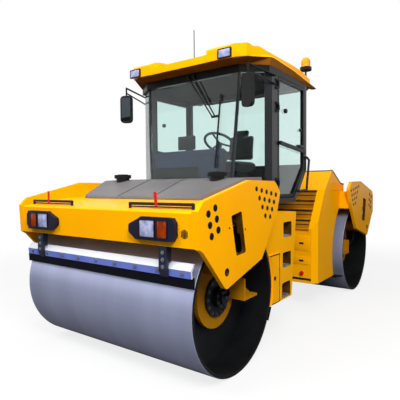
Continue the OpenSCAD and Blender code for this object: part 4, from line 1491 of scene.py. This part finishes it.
def in_slot(c: Vector, n: Vector) -> bool:
    """Tells whether a face lines a side plate's slot or lashing eye.

    Args:
        c: centre of the face.
        n: normal of the face.
    Returns:
        True on the walls of a slot or eye.
    """
    inside = between(abs(c.y), (ZONES.plate_in, SIZES.plate_out - ZONES.skin)) and abs(n.y) < 0.5
    slot = between(abs(c.x) - SIZES.axle_x, ZONES.slot_x) and between(c.z - SIZES.axle_z, ZONES.slot_z)
    eye = math.hypot(abs(c.x) - SIZES.eye[0], c.z - SIZES.eye[1]) < ZONES.eye_r
    return inside and (slot or eye)


def face_rules() -> dict[str, list[Rule]]:
    """Solids that have more than one finish.

    Returns:
        Finish names with their tests, by solid.
    """
    scraper = [
        ("bracket_navy", lambda c, n: between(abs(c.y), ZONES.bracket_y) and c.z > ZONES.bracket_z),
        ("black_rubber", lambda c, n: c.z < ZONES.lip_z),
        # Upward faces of the strip are bright and its forward faces blue: a painted highlight on the top.
        ("zinc_strip", lambda c, n: n.z > 0.3),
        ("blued_steel", lambda c, n: abs(n.x) > 0.8),
        ("zinc_strip", anywhere),
    ]
    # Walls of the step openings, plate slots and lashing eyes are dark brown: painted shade.
    lining = [("step_pocket", in_slot), ("yellow_enamel", anywhere)]
    step = [("step_pocket", in_pocket), ("yellow_enamel", anywhere)]
    rules: dict[str, list[Rule]] = {"step_left": step, "step_right": step}
    for end in End:
        tag = end.name.lower()
        # A drum's faces off its running face, its ends and inside, are near black: painted shade.
        rules[f"{tag}_drum"] = [("machined_shell", on_rim(end * SIZES.axle_x)), ("primed_inside", anywhere)]
        rules[f"{tag}_scrapers"] = scraper
        for piece in ("plate_left", "plate_right", "beam"):
            rules[f"{tag}_{piece}"] = lining
    corner = ("corner_glass", lambda c, n: abs(c.y) > ZONES.corner_y and c.x > ZONES.corner_x)
    rules["cab_glass"] = [corner, ("window_glass", anywhere)]
    # Downward faces of the roof behind the cab's front are near black: painted shade under the roof.
    underside_shade = ("header_coat", lambda c, n: n.z < -0.3 and c.x < ZONES.eave_x)
    rules["cab_roof"] = [underside_shade, ("yellow_enamel", anywhere)]
    rules["beacon"] = [("black_abs", lambda c, n: c.z < ZONES.lens_z), ("amber_lens", anywhere)]
    rules["cab_frame"] = [("header_coat", lambda c, n: c.z > ZONES.header_z), ("post_coat", anywhere)]
    lid = ("moulded_hood", lambda c, n: n.z > 0.3 or n.z < -0.5)
    rules["engine_hood"] = [lid, ("yellow_enamel", anywhere)]
    return rules


def dress_nodes(nodes: Mapping[str, bpy.types.Object], paints: Paintbox) -> None:
    """Gives every solid its finish.

    Args:
        nodes: solids of the frame by name.
        paints: finishes by name.
    """
    for finish, names in ONE_FINISH.items():
        for name in names:
            by_face(nodes[name], paints, [(finish, anywhere)])
    for name, rules in face_rules().items():
        by_face(nodes[name], paints, rules)
    LOG.info("dressed %d solids", len(nodes))


def make_camera(view: ViewPoint) -> None:
    """Sets the camera that matches the photograph.

    Args:
        view: place and angles of the camera.
    """
    yaw, pitch, roll = (math.radians(a) for a in (view.yaw, view.pitch, view.roll))
    ahead = Vector((math.cos(pitch) * math.cos(yaw), math.cos(pitch) * math.sin(yaw), math.sin(pitch)))
    level = ahead.cross(Vector((0, 0, 1))).normalized()
    above = level.cross(ahead)
    right = level * math.cos(roll) + above * math.sin(roll)
    up = above * math.cos(roll) - level * math.sin(roll)
    data = bpy.data.cameras.new("photo_camera")
    data.lens = view.lens
    data.sensor_width = view.sensor
    data.clip_end = view.reach
    cam = bpy.data.objects.new("photo_camera", data)
    turn = Matrix((right, up, -ahead)).transposed().to_4x4()
    cam.matrix_world = Matrix.Translation(Vector(view.place)) @ turn
    bpy.context.scene.collection.objects.link(cam)
    bpy.context.scene.camera = cam
    LOG.info("camera ready")


@dataclass(frozen=True)
class Lamp:
    """One soft area lamp."""

    name: str
    place: Point
    aim: Point
    size: float
    watts: float


@dataclass
class Studio:
    """White surround, pale floor and soft lamps."""

    ambient: float = 0.28
    horizon: Flat = (0.46, 0.72)
    overhead: float = 0.25
    floor_light: str = "#707070"
    floor_dark: str = "#6A6A6A"
    floor_glow: float = 0.80
    floor_half: float = 40.0
    near: float = 3.5
    far: float = 8.0
    lamps: tuple[Lamp, ...] = (
        Lamp("key", (5.5, 5.0, 6.0), (1.2, 0.4, 1.2), 3.5, 740),
        Lamp("front", (7.5, -2.5, 7.5), (1.8, 0.0, 1.0), 3.5, 440),
        Lamp("top", (0.5, 0.0, 8.5), (0.0, 0.0, 0.0), 6.0, 340),
    )

    def build(self) -> None:
        """Makes world, floor and lamps."""
        bpy.context.scene.view_settings.view_transform = "Standard"
        self.surround()
        self.floor()
        for lamp in self.lamps:
            data = bpy.data.lights.new(lamp.name, "AREA")
            data.size = lamp.size
            data.energy = lamp.watts
            obj = bpy.data.objects.new(lamp.name, data)
            obj.matrix_world = place_z_along(Vector(lamp.place) - Vector(lamp.aim), lamp.place)
            obj.visible_glossy = False
            bpy.context.scene.collection.objects.link(obj)
        LOG.info("studio ready")

    def seen(self, tree: bpy.types.NodeTree, gloss: bool) -> bpy.types.NodeSocket:
        """Socket that is 1 for rays from the eye and through glass.

        Args:
            tree: node tree of the world or floor.
            gloss: whether rays off gloss count too.
        Returns:
            The socket.
        """
        path = add_node(tree, "ShaderNodeLightPath")
        socket = path.outputs["Is Camera Ray"]
        kinds = ["Is Transmission Ray"]
        if gloss:
            kinds.append("Is Glossy Ray")
        for kind in kinds:
            links = {0: socket, 1: path.outputs[kind]}
            socket = add_node(tree, "ShaderNodeMath", links=links, operation="MAXIMUM").outputs["Value"]
        return socket

    def surround(self) -> None:
        """Makes the surround: white to the eye, darker overhead and as a light."""
        world = bpy.data.worlds.new("studio")
        bpy.context.scene.world = world
        world.use_nodes = True
        tree = world.node_tree
        coords = add_node(tree, "ShaderNodeTexCoord")
        parts = add_node(tree, "ShaderNodeSeparateXYZ", links={"Vector": coords.outputs["Generated"]})
        start, end = self.horizon
        fade = add_node(
            tree,
            "ShaderNodeMapRange",
            {"From Min": start, "From Max": end, "To Min": 1.0, "To Max": self.overhead},
            {"Value": parts.outputs["Z"]},
        )
        limits = {"To Min": self.ambient, "To Max": 1.0}
        level = add_node(tree, "ShaderNodeMapRange", limits, {"Value": self.seen(tree, gloss=True)})
        links = {0: fade.outputs["Result"], 1: level.outputs["Result"]}
        strength = add_node(tree, "ShaderNodeMath", links=links, operation="MULTIPLY")
        back = tree.nodes["Background"]
        back.inputs["Color"].default_value = (1, 1, 1, 1)
        tree.links.new(strength.outputs["Value"], back.inputs["Strength"])

    def floor(self) -> None:
        """Makes the floor, which keeps the shadow and fades to white with distance."""
        # Painted concrete: even and matt, so that only the shadow shows on it.
        paint = Finish(
            "painted_concrete", light=self.floor_light, dark=self.floor_dark, rough=(0.85, 0.95),
            patch_mm=3000, grain_mm=60, bump_mm=0.0, specular=0.0,
        )
        mat = paint.build()
        self.whiten(mat.node_tree)
        h = self.floor_half
        mesh = bpy.data.meshes.new("floor")
        mesh.from_pydata([(-h, -h, 0), (h, -h, 0), (h, h, 0), (-h, h, 0)], [], [(0, 1, 2, 3)])
        mesh.materials.append(mat)
        floor = bpy.data.objects.new("floor", mesh)
        bpy.context.scene.collection.objects.link(floor)

    def whiten(self, tree: bpy.types.NodeTree) -> None:
        """Lets the floor glow to the eye and turn white far away.

        Args:
            tree: node tree of the floor.
        """
        shader = tree.nodes["Principled BSDF"]
        seen = self.seen(tree, gloss=False)
        glow = add_node(tree, "ShaderNodeMath", {1: self.floor_glow}, {0: seen}, operation="MULTIPLY")
        shader.inputs["Emission Color"].default_value = (1, 1, 1, 1)
        tree.links.new(glow.outputs["Value"], shader.inputs["Emission Strength"])
        coords = add_node(tree, "ShaderNodeTexCoord")
        links = {0: coords.outputs["Object"]}
        reach = add_node(tree, "ShaderNodeVectorMath", links=links, operation="LENGTH")
        blend = add_node(
            tree,
            "ShaderNodeMapRange",
            {"From Min": self.near, "From Max": self.far},
            {"Value": reach.outputs["Value"]},
            interpolation_type="SMOOTHSTEP",
        )
        links = {0: blend.outputs["Result"], 1: seen}
        share = add_node(tree, "ShaderNodeMath", links=links, operation="MULTIPLY")
        white = add_node(tree, "ShaderNodeEmission", {"Color": (1, 1, 1, 1), "Strength": 1.0})
        links = {0: share.outputs["Value"], 1: shader.outputs["BSDF"], 2: white.outputs["Emission"]}
        mixed = add_node(tree, "ShaderNodeMixShader", links=links)
        tree.links.new(mixed.outputs["Shader"], tree.nodes["Material Output"].inputs["Surface"])


def main() -> None:
    """Builds the dressed machine."""
    logging.basicConfig(level=logging.INFO, format="%(name)s: %(message)s")
    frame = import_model()
    paints = Paintbox()
    make_camera(ViewPoint())
    Studio().build()
    dress_nodes(frame["nodes"], paints)
    for part in (
        Yoke(paints, End.FRONT, Body.FRONT),
        Yoke(paints, End.REAR, Body.REAR),
        FrontTrim(paints),
        CabFittings(paints),
        RearTrim(paints),
        ServiceDoors(paints),
        Seat(paints),
    ):
        part.build()
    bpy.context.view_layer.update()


if __name__ == "__main__":
    main()
